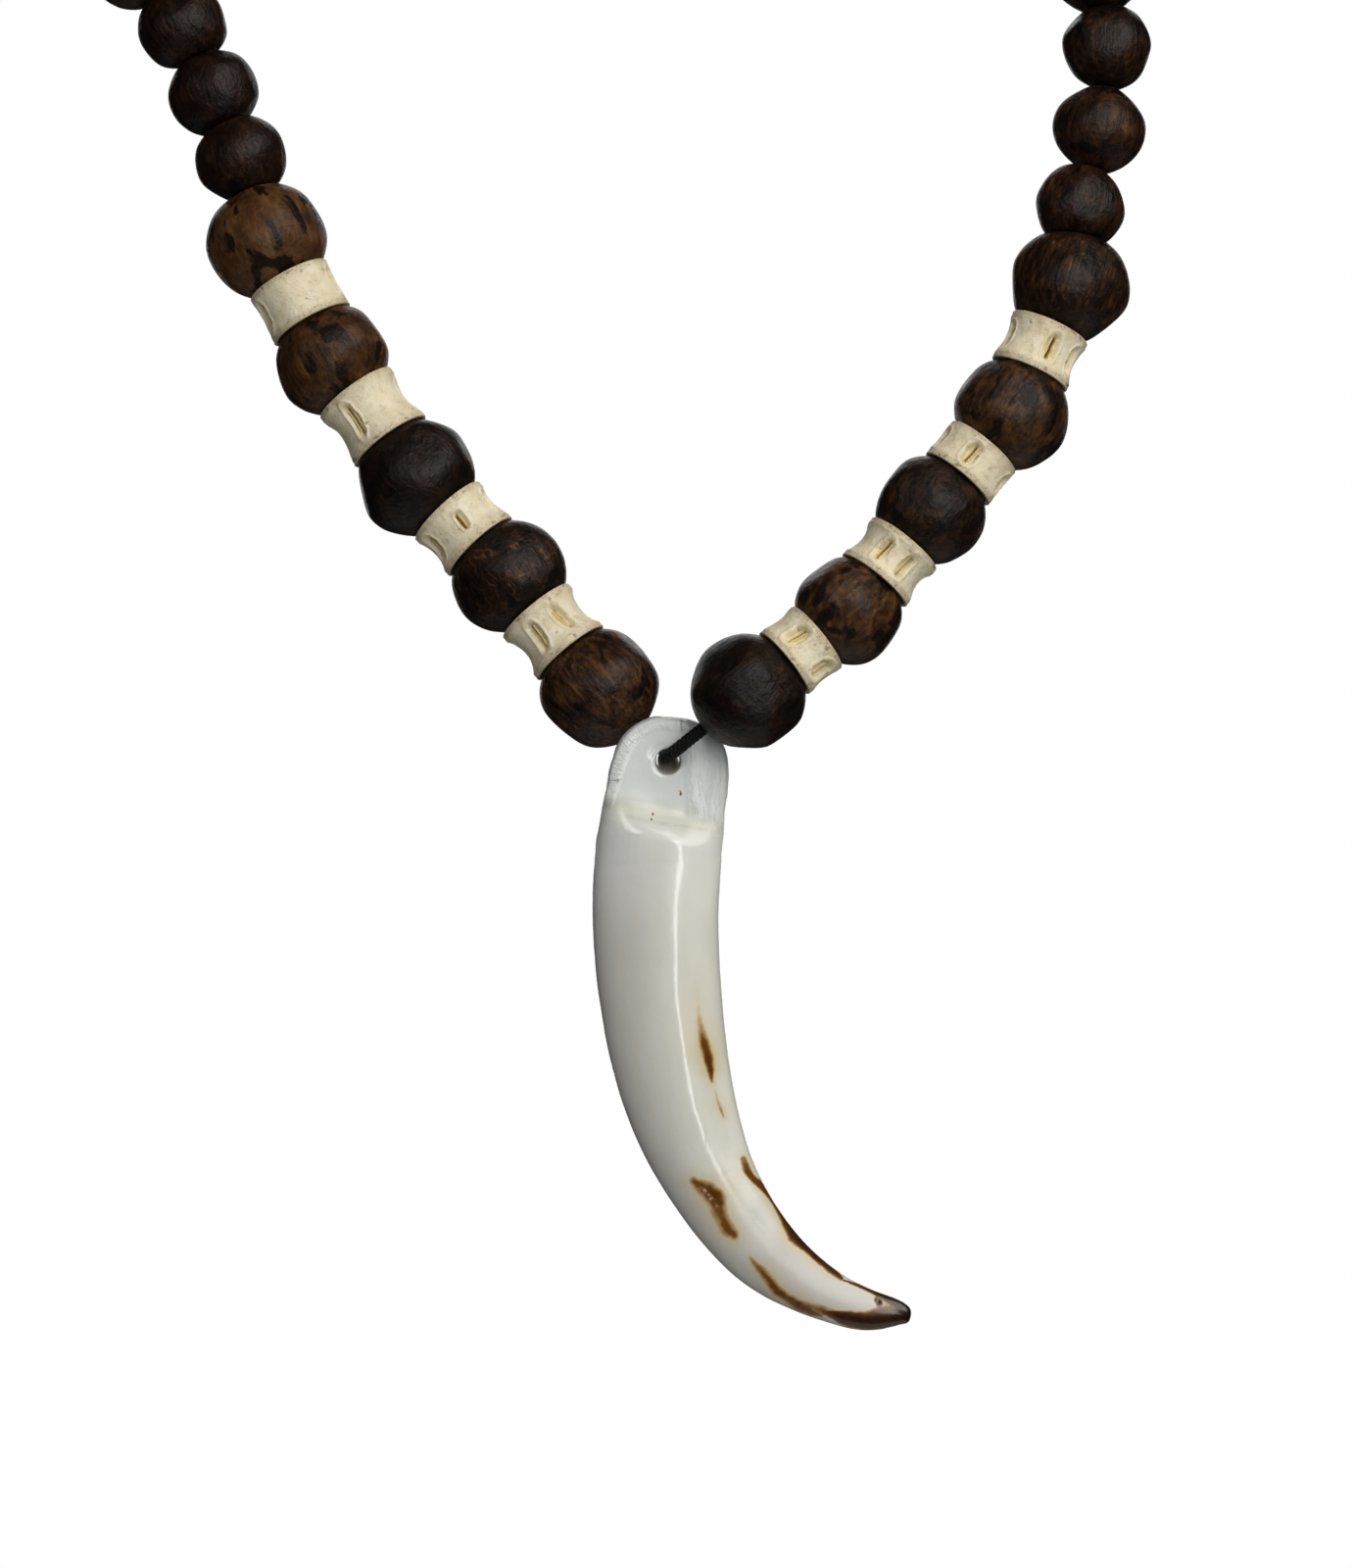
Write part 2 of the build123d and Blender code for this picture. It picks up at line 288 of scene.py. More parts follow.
def readStrand(side):
    # the balls from the pendant up to the clasp, the named ones first
    found = [readBall(islands("wood_%s_%d" % (side, i))[0]) for i in range(1, 6)]
    found += [readBall(islands("small_%s_%d" % (side, i))[0]) for i in range(1, 4)]
    rest = [readBall(group) for group in islands("string_" + side)]
    while rest:
        nearest = min(rest, key=lambda ball: (ball["centre"] - found[-1]["centre"]).length)
        rest.remove(nearest)
        found.append(nearest)
    way = 1 if side == "left" else -1
    first = hole + Vector((cordSettings["shift"], way * cordSettings["stand"], cordSettings["lift"]))
    claspLow, claspHigh = (Vector(corner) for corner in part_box("clasp"))
    mouth = (claspLow + claspHigh) / 2
    mouth.x = claspLow.x if side == "left" else claspHigh.x
    for i, ball in enumerate(found):
        before = first if i == 0 else found[i - 1]["centre"]
        after = mouth if i == len(found) - 1 else found[i + 1]["centre"]
        for end, other in (("low", before), ("high", after)):
            toward = (other - ball["centre"]).normalized()
            reach = float(((ball["points"] - np.array(ball["centre"])) @ np.array(toward)).max())
            isFlat = reach < ball["radius"] - cordSettings["flatLimit"]
            ball[end + "Way"] = toward
            ball[end + "Flat"] = reach if isFlat else 2 * ball["radius"]
            stop = reach + cordSettings["stopGap"] if isFlat else ball["radius"]
            ball[end + "Stop"] = ball["centre"] + toward * stop
    return {"balls": found, "first": first, "mouth": mouth}


strands = {side: readStrand(side) for side in ("left", "right")}
print("balls read: %d left, %d right" % tuple(len(strands[side]["balls"]) for side in ("left", "right")))


def facing(axis):
    # the way to the front across an axis, and the way to its side
    front = (Vector((0, -1, 0)) - axis * axis.dot(Vector((0, -1, 0)))).normalized()
    return front, axis.cross(front)


beadLookNames = ("tone", "darkShare", "streak", "veins", "figure")


def newMaterial(name):
    made = bpy.data.materials.new(name)
    made.use_nodes = True
    made.node_tree.nodes.clear()
    return made, partial(addNode, made.node_tree)


def finishMaterial(add, inputs):
    surface = add("BsdfPrincipled", inputs)
    add("OutputMaterial", {"Surface": surface})


def makePalmWood():
    # stained palm wood, turned, tumbled and waxed: near black to brown with dark blotches along the grain,
    # fine fibres, curly figure, open pores and a broad hazy shine
    made, add = newMaterial("waxed palm wood")
    place, shift = (add("Attribute", attribute_name=name).outputs["Vector"] for name in ("grainPlace", "beadShift"))
    tone, dark, streak, veins, figure = (
        add("Attribute", attribute_name=name).outputs["Fac"] for name in beadLookNames)
    moved = add("VectorMath", [place, shift], "ADD")
    # cloudy brown, then fibres 0.3 mm apart and ten times as long
    cloud = add("TexNoise", {"Vector": moved, "Scale": 0.5, "Detail": 5.0, "Roughness": 0.62})
    fibrePlace = add("Mapping", {"Vector": moved, "Scale": (1.0, 1.0, 0.13)})
    fibre = add("TexNoise", {"Vector": fibrePlace, "Scale": 2.2, "Detail": 4.0, "Roughness": 0.65, "Distortion": 0.3})
    cloudPart = add("Math", [cloud, 0.5], "SUBTRACT")
    fibrePart = add("Math", [fibre, 0.5], "SUBTRACT")
    fibreShare = add("Math", [streak, 1.6, 0.35], "MULTIPLY_ADD")
    fibreLevel = add("Math", [fibrePart, fibreShare], "MULTIPLY")
    level = add("Math", [cloudPart, 1.0, tone], "MULTIPLY_ADD")
    level = add("Math", [level, fibreLevel], "ADD")
    # curly figure, soft bands about a millimetre apart round their centres
    hill = add("TexNoise", {"Vector": moved, "Scale": 0.3, "Detail": 1.5, "Roughness": 0.4})
    hillTurn = add("Math", [hill, 44.0], "MULTIPLY")
    band = add("Math", [hillTurn], "SINE")
    bandShare = add("Math", [band, figure], "MULTIPLY")
    level = add("Math", [bandShare, 0.11, level], "MULTIPLY_ADD")
    # dark blotches 1.5 to 4 mm long with fairly crisp edges
    blotchPlace = add("Mapping", {"Vector": moved, "Scale": (1.0, 1.0, 0.5)})
    blotch = add("TexNoise", {"Vector": blotchPlace, "Scale": 0.46, "Detail": 3.0, "Roughness": 0.5, "Distortion": 0.4})
    start = add("Math", [dark, -0.26, 0.68], "MULTIPLY_ADD")
    over = add("Math", [blotch, start], "SUBTRACT")
    blotched = add("MapRange", [over, -0.02, 0.06], interpolation_type="SMOOTHSTEP")
    keep = add("Math", [blotched, -0.68, 1.0], "MULTIPLY_ADD")
    level = add("Math", [level, keep], "MULTIPLY")
    # thin curly veins between dark cells of 1.5 mm
    bent = add("TexNoise", {"Vector": moved, "Scale": 0.6, "Detail": 2.0, "Roughness": 0.5})
    bend = add("VectorMath", [bent.outputs["Color"], 2.6], "SCALE")
    cellPlace = add("VectorMath", [blotchPlace, bend], "ADD")
    cells = add("TexVoronoi", {"Vector": cellPlace, "Scale": 0.5}, feature="DISTANCE_TO_EDGE")
    line = add("MapRange", [cells, 0.0, 0.08, 1.0, 0.0])
    broken = add("MapRange", [cloud, 0.4, 0.62, 0.05, 0.85])
    vein = add("Math", [line, broken], "MULTIPLY")
    veinShare = add("Math", [vein, veins], "MULTIPLY")
    level = add("Math", [veinShare, 0.8, level], "MULTIPLY_ADD")
    ramp = add("ValToRGB", {"Fac": level})
    setRamp(ramp, [(0.0, "#060403"), (0.2, "#110a06"), (0.4, "#22130a"), (0.6, "#3a2411"), (0.8, "#53361b"),
                   (1.0, "#6b4b2b")])
    # reddish where the stain is thick, pale where it is scuffed
    redNoise = add("TexNoise", {"Vector": moved, "Scale": 0.28, "Detail": 2.0})
    red = add("MapRange", [redNoise, 0.5, 0.68, 0.0, 0.28])
    reddened = add("Mix", [red, ramp, "#2a1209"], data_type="RGBA")
    scuffNoise = add("TexNoise", {"Vector": fibrePlace, "Scale": 3.4, "Detail": 3.0, "Roughness": 0.7})
    scuff = add("MapRange", [scuffNoise, 0.64, 0.74, 0.0, 0.3])
    colour = add("Mix", [scuff, reddened, "#675034"], data_type="RGBA")
    mottle = add("TexNoise", {"Vector": moved, "Scale": 1.3, "Detail": 4.0, "Roughness": 0.6})
    hazy = add("MapRange", [mottle, 0.3, 0.7, 0.3, 0.48])
    relief = add("Math", [mottle, 1.5, fibre], "MULTIPLY_ADD")
    relief = add("Math", [blotched, -0.25, relief], "MULTIPLY_ADD")
    relief = add("Math", [bandShare, 0.1, relief], "MULTIPLY_ADD")
    bump = add("Bump", {"Height": relief, "Strength": 0.7, "Distance": 0.00015})
    finishMaterial(add, {"Base Color": colour, "Roughness": hazy, "Normal": bump, "IOR": 1.33})
    return made


def makeBone():
    # bleached bone, sawn and rubbed smooth: chalky cream, warm in the hollows with painted shade deep in their slits,
    # grey-brown dirt in the pores, and dirt with painted shade at the rims
    made, add = newMaterial("bleached bone")
    place = add("Attribute", attribute_name="bonePlace").outputs["Vector"]
    pit, rim, dirt = (add("Attribute", attribute_name=name).outputs["Fac"] for name in ("pit", "rim", "dirt"))
    cloud = add("TexNoise", {"Vector": place, "Scale": 0.6, "Detail": 4.0, "Roughness": 0.62})
    ramp = add("ValToRGB", {"Fac": cloud})
    setRamp(ramp, [(0.3, "#e4d6ae"), (0.5, "#efe4c4"), (0.7, "#f6eed6")])
    # darker grey-brown towards the rims: dirt, and painted shade where the beads meet the bone
    rimDirtAndShade = add("Math", [rim, 0.6], "MULTIPLY")
    rimmed = add("Mix", [rimDirtAndShade, ramp, "#d6c8a8"], data_type="RGBA")
    # warm inside the pits, darkening to painted shade deep in the slits
    warm = add("ValToRGB", {"Fac": pit})
    setRamp(warm, [(0.0, "#efe5c9"), (0.3, "#e4d4a0"), (0.6, "#c1a468"), (0.95, "#4d3b22")])
    pitShare = add("MapRange", [pit, 0.05, 0.3])
    warmed = add("Mix", [pitShare, rimmed, warm], data_type="RGBA")
    # pores of 0.1 to 0.2 mm, thicker towards the rims
    pore = add("TexVoronoi", {"Vector": place, "Scale": 4.0, "Randomness": 1.0})
    patch = add("TexNoise", {"Vector": place, "Scale": 0.8, "Detail": 4.0, "Roughness": 0.7})
    patchLevel = add("Math", [rim, 0.2, patch], "MULTIPLY_ADD")
    patchOn = add("MapRange", [patchLevel, 0.52, 0.7, 0.0, 0.8])
    smudge = add("MapRange", [patchLevel, 0.5, 0.85, 0.0, 0.6])
    smudged = add("Mix", [smudge, warmed, "#bda986"], data_type="RGBA")
    fineAt = add("TexVoronoi", {"Vector": place, "Scale": 7.0, "Randomness": 1.0})
    fineDot = add("MapRange", [fineAt, 0.1, 0.34, 0.42, 0.0])
    fineOn = add("MapRange", [patchLevel, 0.42, 0.58])
    fineDots = add("Math", [fineDot, fineOn], "MULTIPLY")
    dot = add("MapRange", [pore, 0.12, 0.3, 1.0, 0.0])
    dots = add("Math", [dot, patchOn], "MULTIPLY")
    dirtAll = add("Math", [dots, dirt], "MAXIMUM")
    dirtAll = add("Math", [dirtAll, fineDots], "MAXIMUM")
    colour = add("Mix", [dirtAll, smudged, "#6f5b45"], data_type="RGBA")
    grain = add("TexNoise", {"Vector": place, "Scale": 1.8, "Detail": 5.0, "Roughness": 0.65})
    height = add("Math", [grain, dots], "SUBTRACT")
    bump = add("Bump", {"Height": height, "Strength": 0.7, "Distance": 0.00018})
    finishMaterial(add, {
        "Base Color": colour, "Normal": bump, "Roughness": 0.55, "IOR": 1.5, "Subsurface Weight": 0.08,
        "Subsurface Radius": (1.0, 0.7, 0.45), "Subsurface Scale": 0.0005})
    return made


def makeTusk():
    # polished white enamel of a tusk: porcelain gloss, milky inside, scorched brown along the edges and at the tip
    made, add = newMaterial("polished tusk enamel")
    place = add("VectorMath", [add("TexCoord").outputs["Object"], 1000.0], "SCALE")      # in mm
    stain, haze, tint, cool, grey, creaseShade, ripple, matt = (
        add("Attribute", attribute_name=name).outputs["Fac"]
        for name in ("stain", "haze", "tint", "cool", "grey", "creaseShade", "ripple", "matt"))
    cloudPlace = add("Mapping", {"Vector": place, "Scale": (1.0, 1.0, 0.3)})
    cloud = add("TexNoise", {"Vector": cloudPlace, "Scale": 0.35, "Detail": 3.0})
    white = add("ValToRGB", {"Fac": cloud})
    setRamp(white, [(0.3, "#e0dfd3"), (0.7, "#eae9df")])
    colour = white
    # the dark olive colour is painted shade along the crease under the step
    # the grey colour is painted shade on the side left of the front edge, and also greys the tip
    for share, layer in ((grey, "#d0cdc7"), (cool, "#f1f5f4"), (tint, "#dfe0c9"), (creaseShade, "#3f392c")):
        colour = add("Mix", [share, colour, layer], data_type="RGBA")
    # painted shade on the wall of the hole, within 1.25 mm of its middle
    fromHole = add("VectorMath", [place, (0.0, -1000 * hole.y, -1000 * hole.z)], "ADD")
    flatHole = add("VectorMath", [fromHole, (1.0, 0.0, 1.0)], "MULTIPLY")
    away = add("VectorMath", [flatHole], "LENGTH")
    holeShade = add("MapRange", [away, 1.2, 1.3, 0.75, 0.0])
    colour = add("Mix", [holeShade, colour, "#8d8570"], data_type="RGBA")
    colour = add("Mix", [haze, colour, "#d2bd80"], data_type="RGBA")
    grit = add("TexNoise", {"Vector": place, "Scale": 1.2, "Detail": 3.0, "Roughness": 0.5})
    uneven = add("Math", [grit, 0.5], "SUBTRACT")
    level = add("Math", [uneven, 0.3, stain], "MULTIPLY_ADD")
    onStain = add("MapRange", [stain, 0.02, 0.25])
    level = add("Math", [level, onStain], "MULTIPLY")
    brown = add("ValToRGB", {"Fac": level})
    setRamp(brown, [(0.1, "#e2cd90"), (0.28, "#b18226"), (0.46, "#80510b"), (0.66, "#603506"), (0.84, "#41210b"),
                    (1.0, "#20150d")])
    brownShare = add("MapRange", [level, 0.0, 0.5])
    colour = add("Mix", [brownShare, colour, brown], data_type="RGBA")
    # polishing ripples about 0.4 mm apart, across the rounded edge of the ground tab and down its right side
    rippleAt = add("Attribute", attribute_name="rippleAt").outputs["Vector"]
    strokes = add("TexNoise", {"Vector": rippleAt, "Scale": 2.6, "Detail": 3.0, "Roughness": 0.55, "Distortion": 0.6})
    rippled = add("Math", [strokes, ripple], "MULTIPLY")
    sheen = add("TexNoise", {"Vector": place, "Scale": 0.9, "Detail": 3.0, "Roughness": 0.55})
    ripples = add("Bump", {"Height": rippled, "Strength": 1.0, "Distance": 0.0003})
    bump = add("Bump", {"Height": sheen, "Normal": ripples, "Strength": 0.3, "Distance": 0.0001})
    rough = add("MapRange", [matt, 0.0, 1.0, 0.2, 0.36])
    wax = add("MapRange", [matt, 0.0, 1.0, 0.3, 0.05])
    finishMaterial(add, {
        "Base Color": colour, "Normal": bump, "Roughness": rough, "IOR": 1.55, "Subsurface Weight": 0.15,
        "Subsurface Radius": (1.0, 0.9, 0.8), "Subsurface Scale": 0.001, "Coat Weight": wax, "Coat Roughness": 0.06})
    return made


def makeCordCotton():
    # waxed black cotton, braided: nearly black with a dull wax shine on the crowns of the strands
    made, add = newMaterial("waxed black cotton")
    place = add("TexCoord").outputs["Object"]
    fuzz = add("TexNoise", {"Vector": place, "Scale": 6000.0, "Detail": 3.0, "Roughness": 0.6})
    ramp = add("ValToRGB", {"Fac": fuzz})
    setRamp(ramp, [(0.3, "#040404"), (0.7, "#161514")])
    bump = add("Bump", {"Height": fuzz, "Strength": 0.4, "Distance": 0.00004})
    finishMaterial(add, {
        "Base Color": ramp.outputs["Color"], "Normal": bump, "Roughness": 0.6, "IOR": 1.36})
    return made


def makeBrass():
    # turned brass, lightly brushed round the barrel and a little dull from wear
    made, add = newMaterial("brushed brass")
    place = add("TexCoord").outputs["Object"]
    brushPlace = add("Mapping", {"Vector": place, "Scale": (9000.0, 300.0, 300.0)})
    brush = add("TexNoise", {"Vector": brushPlace, "Scale": 1.0, "Detail": 2.0})
    cloud = add("TexNoise", {"Vector": place, "Scale": 700.0, "Detail": 3.0})
    ramp = add("ValToRGB", {"Fac": cloud})
    setRamp(ramp, [(0.3, "#a5813c"), (0.6, "#c9a759"), (0.8, "#d9bd74")])
    dull = add("MapRange", [cloud, 0.3, 0.7, 0.38, 0.24])
    bump = add("Bump", {"Height": brush, "Strength": 0.25, "Distance": 0.00002})
    finishMaterial(add, {"Base Color": ramp.outputs["Color"], "Roughness": dull, "Normal": bump, "Metallic": 1.0})
    return made


palmWood = makePalmWood()
bone = makeBone()
enamel = makeTusk()
waxedCotton = makeCordCotton()
brass = makeBrass()
print("materials are made")


beadSettings = {
    "Around": 97,             # vertices round the bore, the last on the first
    "Along": 81,              # vertices from hole to hole and back through the bore
    "Bore Radius": 1.1 * mm,
    "Edge Softness": 0.35 * mm,
    "Facets": 26,             # flats left by hand turning and tumbling
    "Facet Depth": 0.030,     # share of the ball's radius
    "Facet Softness": 0.8 * mm,
    "Swell": 1.015,           # the ball before its flats are cut
    "Belly": 0.045,           # how much fuller it is half way between its holes
    "Dent Depth": 0.2 * mm,
    "Seed": 11,
}
outerShare = 0.86             # share of the ring that lies on the outside, the rest lines the bore


def makeBeadTree():
    # every point of the incoming mesh grows one bored ball, with its frame, size and flats in attributes
    tree, add = newTree("turned beads", beadSettings)
    entry = add("NodeGroupInput").outputs
    kinds = {"ballRadius": "FLOAT", "lowFlat": "FLOAT", "highFlat": "FLOAT", "beadSeed": "INT"}
    named = {}
    for name in ("ballRadius", "frameX", "frameY", "frameZ", "boreShift", "lowWay", "highWay", "lowFlat", "highFlat",
                 "beadSeed", "ring", "centre"):
        reader = add("InputNamedAttribute", {"Name": name}, data_type=kinds.get(name, "FLOAT_VECTOR"))
        named[name] = next(s for s in reader.outputs if s.enabled)

    sheet = add("MeshGrid", {"Size X": 1.0, "Size Y": 1.0, "Vertices X": entry["Around"], "Vertices Y": entry["Along"]})
    place = add("InputPosition")
    ringPlace = add("VectorMath", [place, (0.5, 0.5, 0.0)], "ADD")
    ringed = add("StoreNamedAttribute", {
        "Geometry": sheet, "Name": "ring", "Value": ringPlace}, data_type="FLOAT_VECTOR")
    centred = add("StoreNamedAttribute", {
        "Geometry": entry["Geometry"], "Name": "centre", "Value": place}, data_type="FLOAT_VECTOR")
    copies = add("InstanceOnPoints", {"Points": centred, "Instance": ringed})
    whole = add("RealizeInstances", {"Geometry": copies})

    # outside from hole to hole, then back along the bore
    ring = add("SeparateXYZ", {"Vector": named["ring"]})
    turn = add("Math", [ring.outputs["X"], 2 * pi], "MULTIPLY")
    turnCos = add("Math", [turn], "COSINE")
    turnSin = add("Math", [turn], "SINE")
    boreShare = add("Math", [entry["Bore Radius"], named["ballRadius"]], "DIVIDE")
    firstTilt = add("Math", [boreShare], "ARCSINE")
    lastTilt = add("Math", [pi, firstTilt], "SUBTRACT")
    tilt = add("MapRange", [ring.outputs["Y"], 0.0, outerShare, firstTilt, lastTilt])
    tiltSin = add("Math", [tilt], "SINE")
    tiltCos = add("Math", [tilt], "COSINE")
    outerReach = add("Math", [tiltSin, named["ballRadius"]], "MULTIPLY")
    inBore = add("Compare", [ring.outputs["Y"], outerShare + 1e-5], "GREATER_THAN", data_type="FLOAT")
    reach = add("Switch", [inBore, outerReach, entry["Bore Radius"]], input_type="FLOAT")
    holeCos = add("Math", [firstTilt], "COSINE")
    holeNear = add("Math", [tiltCos, holeCos], "DIVIDE")
    holeNearness = add("Math", [holeNear, 4.0], "POWER")
    shiftShare = add("Switch", [inBore, holeNearness, 1.0], input_type="FLOAT")
    shift = add("VectorMath", [named["boreShift"], shiftShare], "SCALE")
    flatX = add("Math", [turnCos, reach], "MULTIPLY")
    flatY = add("Math", [turnSin, reach], "MULTIPLY")
    ringOnly = add("CombineXYZ", {"X": flatX, "Y": flatY})
    across = add("VectorMath", [ringOnly, shift], "ADD")
    acrossSquare = add("VectorMath", [across, across], "DOT_PRODUCT")
    radiusSquare = add("Math", [named["ballRadius"], 2.0], "POWER")
    riseSquare = add("Math", [radiusSquare, acrossSquare], "SUBTRACT")
    risePositive = add("Math", [riseSquare, 0.0], "MAXIMUM")
    rise = add("Math", [risePositive], "SQRT")
    outerSide = add("Math", [tiltCos], "SIGN")
    boreSide = add("MapRange", [ring.outputs["Y"], outerShare, 1.0, -1.0, 1.0])
    side = add("Switch", [inBore, outerSide, boreSide], input_type="FLOAT")
    height = add("Math", [rise, side], "MULTIPLY")
    split = add("SeparateXYZ", {"Vector": across})
    inFrame = add("CombineXYZ", {"X": split.outputs["X"], "Y": split.outputs["Y"], "Z": height})

    # the same place in mm is kept for the grain of the wood
    grain = add("VectorMath", [inFrame, 1000.0], "SCALE")
    grained = add("StoreNamedAttribute", {
        "Geometry": whole, "Name": "grainPlace", "Value": grain}, data_type="FLOAT_VECTOR")
    alongX = add("VectorMath", [named["frameX"], split.outputs["X"]], "SCALE")
    alongY = add("VectorMath", [named["frameY"], split.outputs["Y"]], "SCALE")
    alongZ = add("VectorMath", [named["frameZ"], height], "SCALE")
    sumXY = add("VectorMath", [alongX, alongY], "ADD")
    fromCentre = add("VectorMath", [sumXY, alongZ], "ADD")
    bellyShare = add("Math", [tiltSin, 4.0], "POWER")
    fullness = add("Math", [bellyShare, entry["Belly"], entry["Swell"]], "MULTIPLY_ADD")
    outerFullness = add("Switch", [inBore, fullness, 1.0], input_type="FLOAT")
    swollen = add("VectorMath", [fromCentre, outerFullness], "SCALE")
    ballPlace = add("VectorMath", [named["centre"], swollen], "ADD")
    wholeBall = add("SetPosition", {"Geometry": grained, "Position": ballPlace})

    # soft dents of a few millimetres, drawn out along the grain
    grainStretch = add("VectorMath", [grain, (0.42, 0.42, 0.2)], "MULTIPLY")
    dents = add("TexNoise", {
        "Vector": grainStretch, "W": named["beadSeed"], "Scale": 1.0, "Detail": 2.5,
        "Roughness": 0.55}, noise_dimensions="4D")
    dentLevel = add("Math", [dents, 0.72], "SUBTRACT")
    dentSize = add("Math", [dentLevel, entry["Dent Depth"]], "MULTIPLY")
    outSide = add("BooleanMath", [inBore], "NOT")
    outward = add("VectorMath", [fromCentre], "NORMALIZE")
    dentWay = add("VectorMath", [outward, dentSize], "SCALE")
    dented = add("SetPosition", {"Geometry": wholeBall, "Selection": outSide, "Offset": dentWay})

    # facets: each turn of the loop planes one soft flat at a random place
    loopIn = add("RepeatInput")
    loopOut = add("RepeatOutput")
    loopIn.pair_with_output(loopOut)
    tree.links.new(entry["Facets"], loopIn.inputs["Iterations"])
    tree.links.new(dented.outputs["Geometry"], loopIn.inputs["Geometry"])
    turnSeed = add("Math", [loopIn.outputs["Iteration"], entry["Seed"]], "ADD")
    anyWay = add("RandomValue", {
        "Min": (-1.0, -1.0, -1.0), "Max": (1.0, 1.0, 1.0), "ID": named["beadSeed"],
        "Seed": turnSeed}, data_type="FLOAT_VECTOR")
    way = add("VectorMath", [anyWay], "NORMALIZE")
    cutSeed = add("Math", [turnSeed, 500.0], "ADD")
    cutShare = add("RandomValue", {"Min": 0.2, "Max": 1.0, "ID": named["beadSeed"], "Seed": cutSeed}, data_type="FLOAT")
    cutDepth = add("Math", [cutShare, entry["Facet Depth"]], "MULTIPLY")
    keepShare = add("Math", [1.0, cutDepth], "SUBTRACT")
    level = add("Math", [keepShare, named["ballRadius"]], "MULTIPLY")
    here = add("VectorMath", [place, named["centre"]], "SUBTRACT")

    def press(shape, pressWay, pressLevel, softness):
        high = add("VectorMath", [here, pressWay], "DOT_PRODUCT")
        pressed = add("Math", [high, pressLevel, softness], "SMOOTH_MIN")
        cut = add("Math", [pressed, high], "SUBTRACT")
        cutWay = add("VectorMath", [pressWay, cut], "SCALE")
        return add("SetPosition", {"Geometry": shape, "Offset": cutWay})

    faceted = press(loopIn.outputs["Geometry"], way, level, entry["Facet Softness"])
    tree.links.new(faceted.outputs["Geometry"], loopOut.inputs["Geometry"])

    # the flat ends where balls meet
    shape = loopOut
    for end in ("low", "high"):
        shape = press(shape, named[end + "Way"], named[end + "Flat"], entry["Edge Softness"])
    joined = add("MergeByDistance", {"Geometry": shape, "Distance": 2e-6})
    finishTree(add, joined, entry["Material"])
    return tree


# shares for each bead, in the order of beadLookNames: the tone goes from near black to brown
beadLooks = {
    "wood_left_1": (0.56, 0.34, 0.80, 0.0, 0.1), "wood_left_2": (0.34, 0.60, 0.15, 0.7, 0.1),
    "wood_left_3": (0.24, 0.55, 0.15, 0.0, 0.2), "wood_left_4": (0.68, 0.50, 0.30, 0.0, 0.1),
    "wood_left_5": (0.78, 0.50, 0.10, 0.0, 0.1),
    "small_left_1": (0.34, 0.45, 0.3, 0.0, 0.1), "small_left_2": (0.26, 0.5, 0.2, 0.0, 0.1),
    "small_left_3": (0.32, 0.5, 0.5, 0.0, 0.1),
    "wood_right_1": (0.20, 0.50, 0.30, 0.35, 0.2), "wood_right_2": (0.64, 0.56, 0.05, 0.2, 0.8),
    "wood_right_3": (0.38, 0.55, 0.20, 0.0, 0.9), "wood_right_4": (0.60, 0.50, 0.45, 0.0, 0.6),
    "wood_right_5": (0.42, 0.50, 0.80, 0.0, 0.1),
    "small_right_1": (0.40, 0.45, 0.5, 0.0, 0.2), "small_right_2": (0.44, 0.5, 0.4, 0.2, 0.2),
    "small_right_3": (0.36, 0.5, 0.6, 0.0, 0.1),
}


def beadPoints(name, balls, looks, firstSeed):
    # one mesh point a ball, with everything that the tree needs to know about it
    mesh = bpy.data.meshes.new(name)
    mesh.from_pydata([ball["centre"] for ball in balls], [], [])
    rows = {key: [] for key in ("frameX", "frameY", "frameZ", "boreShift", "lowWay", "highWay", "beadShift")}
    numbers = range(firstSeed, firstSeed + len(balls))
    for number, ball in zip(numbers, balls):
        axis = (ball["highStop"] - ball["lowStop"]).normalized()
        front, side = facing(axis)
        back = ball["lowStop"] - ball["centre"]
        shift = back - axis * back.dot(axis)
        place = (number * 17.3 % 91, number * 31.7 % 83, number * 7.9 % 71)      # where in the wood it is cut from
        values = (front, side, axis, (shift.dot(front), shift.dot(side), 0), ball["lowWay"], ball["highWay"], place)
        for key, value in zip(rows, values):
            rows[key].append(tuple(value))
    for key, values in rows.items():
        setValues(mesh, key, values, "FLOAT_VECTOR")
    for key, ballKey in (("lowFlat", "lowFlat"), ("highFlat", "highFlat"), ("ballRadius", "radius")):
        setValues(mesh, key, [ball[ballKey] for ball in balls])
    setValues(mesh, "beadSeed", numbers, "INT")
    for key, values in zip(beadLookNames, zip(*looks)):
        setValues(mesh, key, values)
    return mesh


def growBeads(name, balls, looks, firstSeed, changes):
    points = beadPoints(name + "_points", balls, looks, firstSeed)
    piece = growMesh(name + "_dressed", beadTree, points, {**beadSettings, **changes, "Material": palmWood})
    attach(piece, "strand")
    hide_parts(name)


beadTree = makeBeadTree()
stringSettings = {"Around": 65, "Along": 53, "Facet Depth": 0.04}
seedNow = 1
for side in ("left", "right"):
    balls = strands[side]["balls"]
    names = ["wood_%s_%d" % (side, i) for i in range(1, 6)] + ["small_%s_%d" % (side, i) for i in range(1, 4)]
    for name, ball in zip(names, balls):
        growBeads(name, [ball], [beadLooks[name]], seedNow, {})
        seedNow += 1
    rest = balls[len(names):]
    looks = [(0.30 + 0.18 * ((i * 37 + seedNow * 11) % 100) / 100, 0.5, 0.3 + 0.4 * ((i * 53) % 100) / 100, 0.0, 0.15)
             for i in range(len(rest))]
    growBeads("string_" + side, rest, looks, seedNow, stringSettings)
    seedNow += len(rest)
print("beads are turned: %d" % (seedNow - 1))


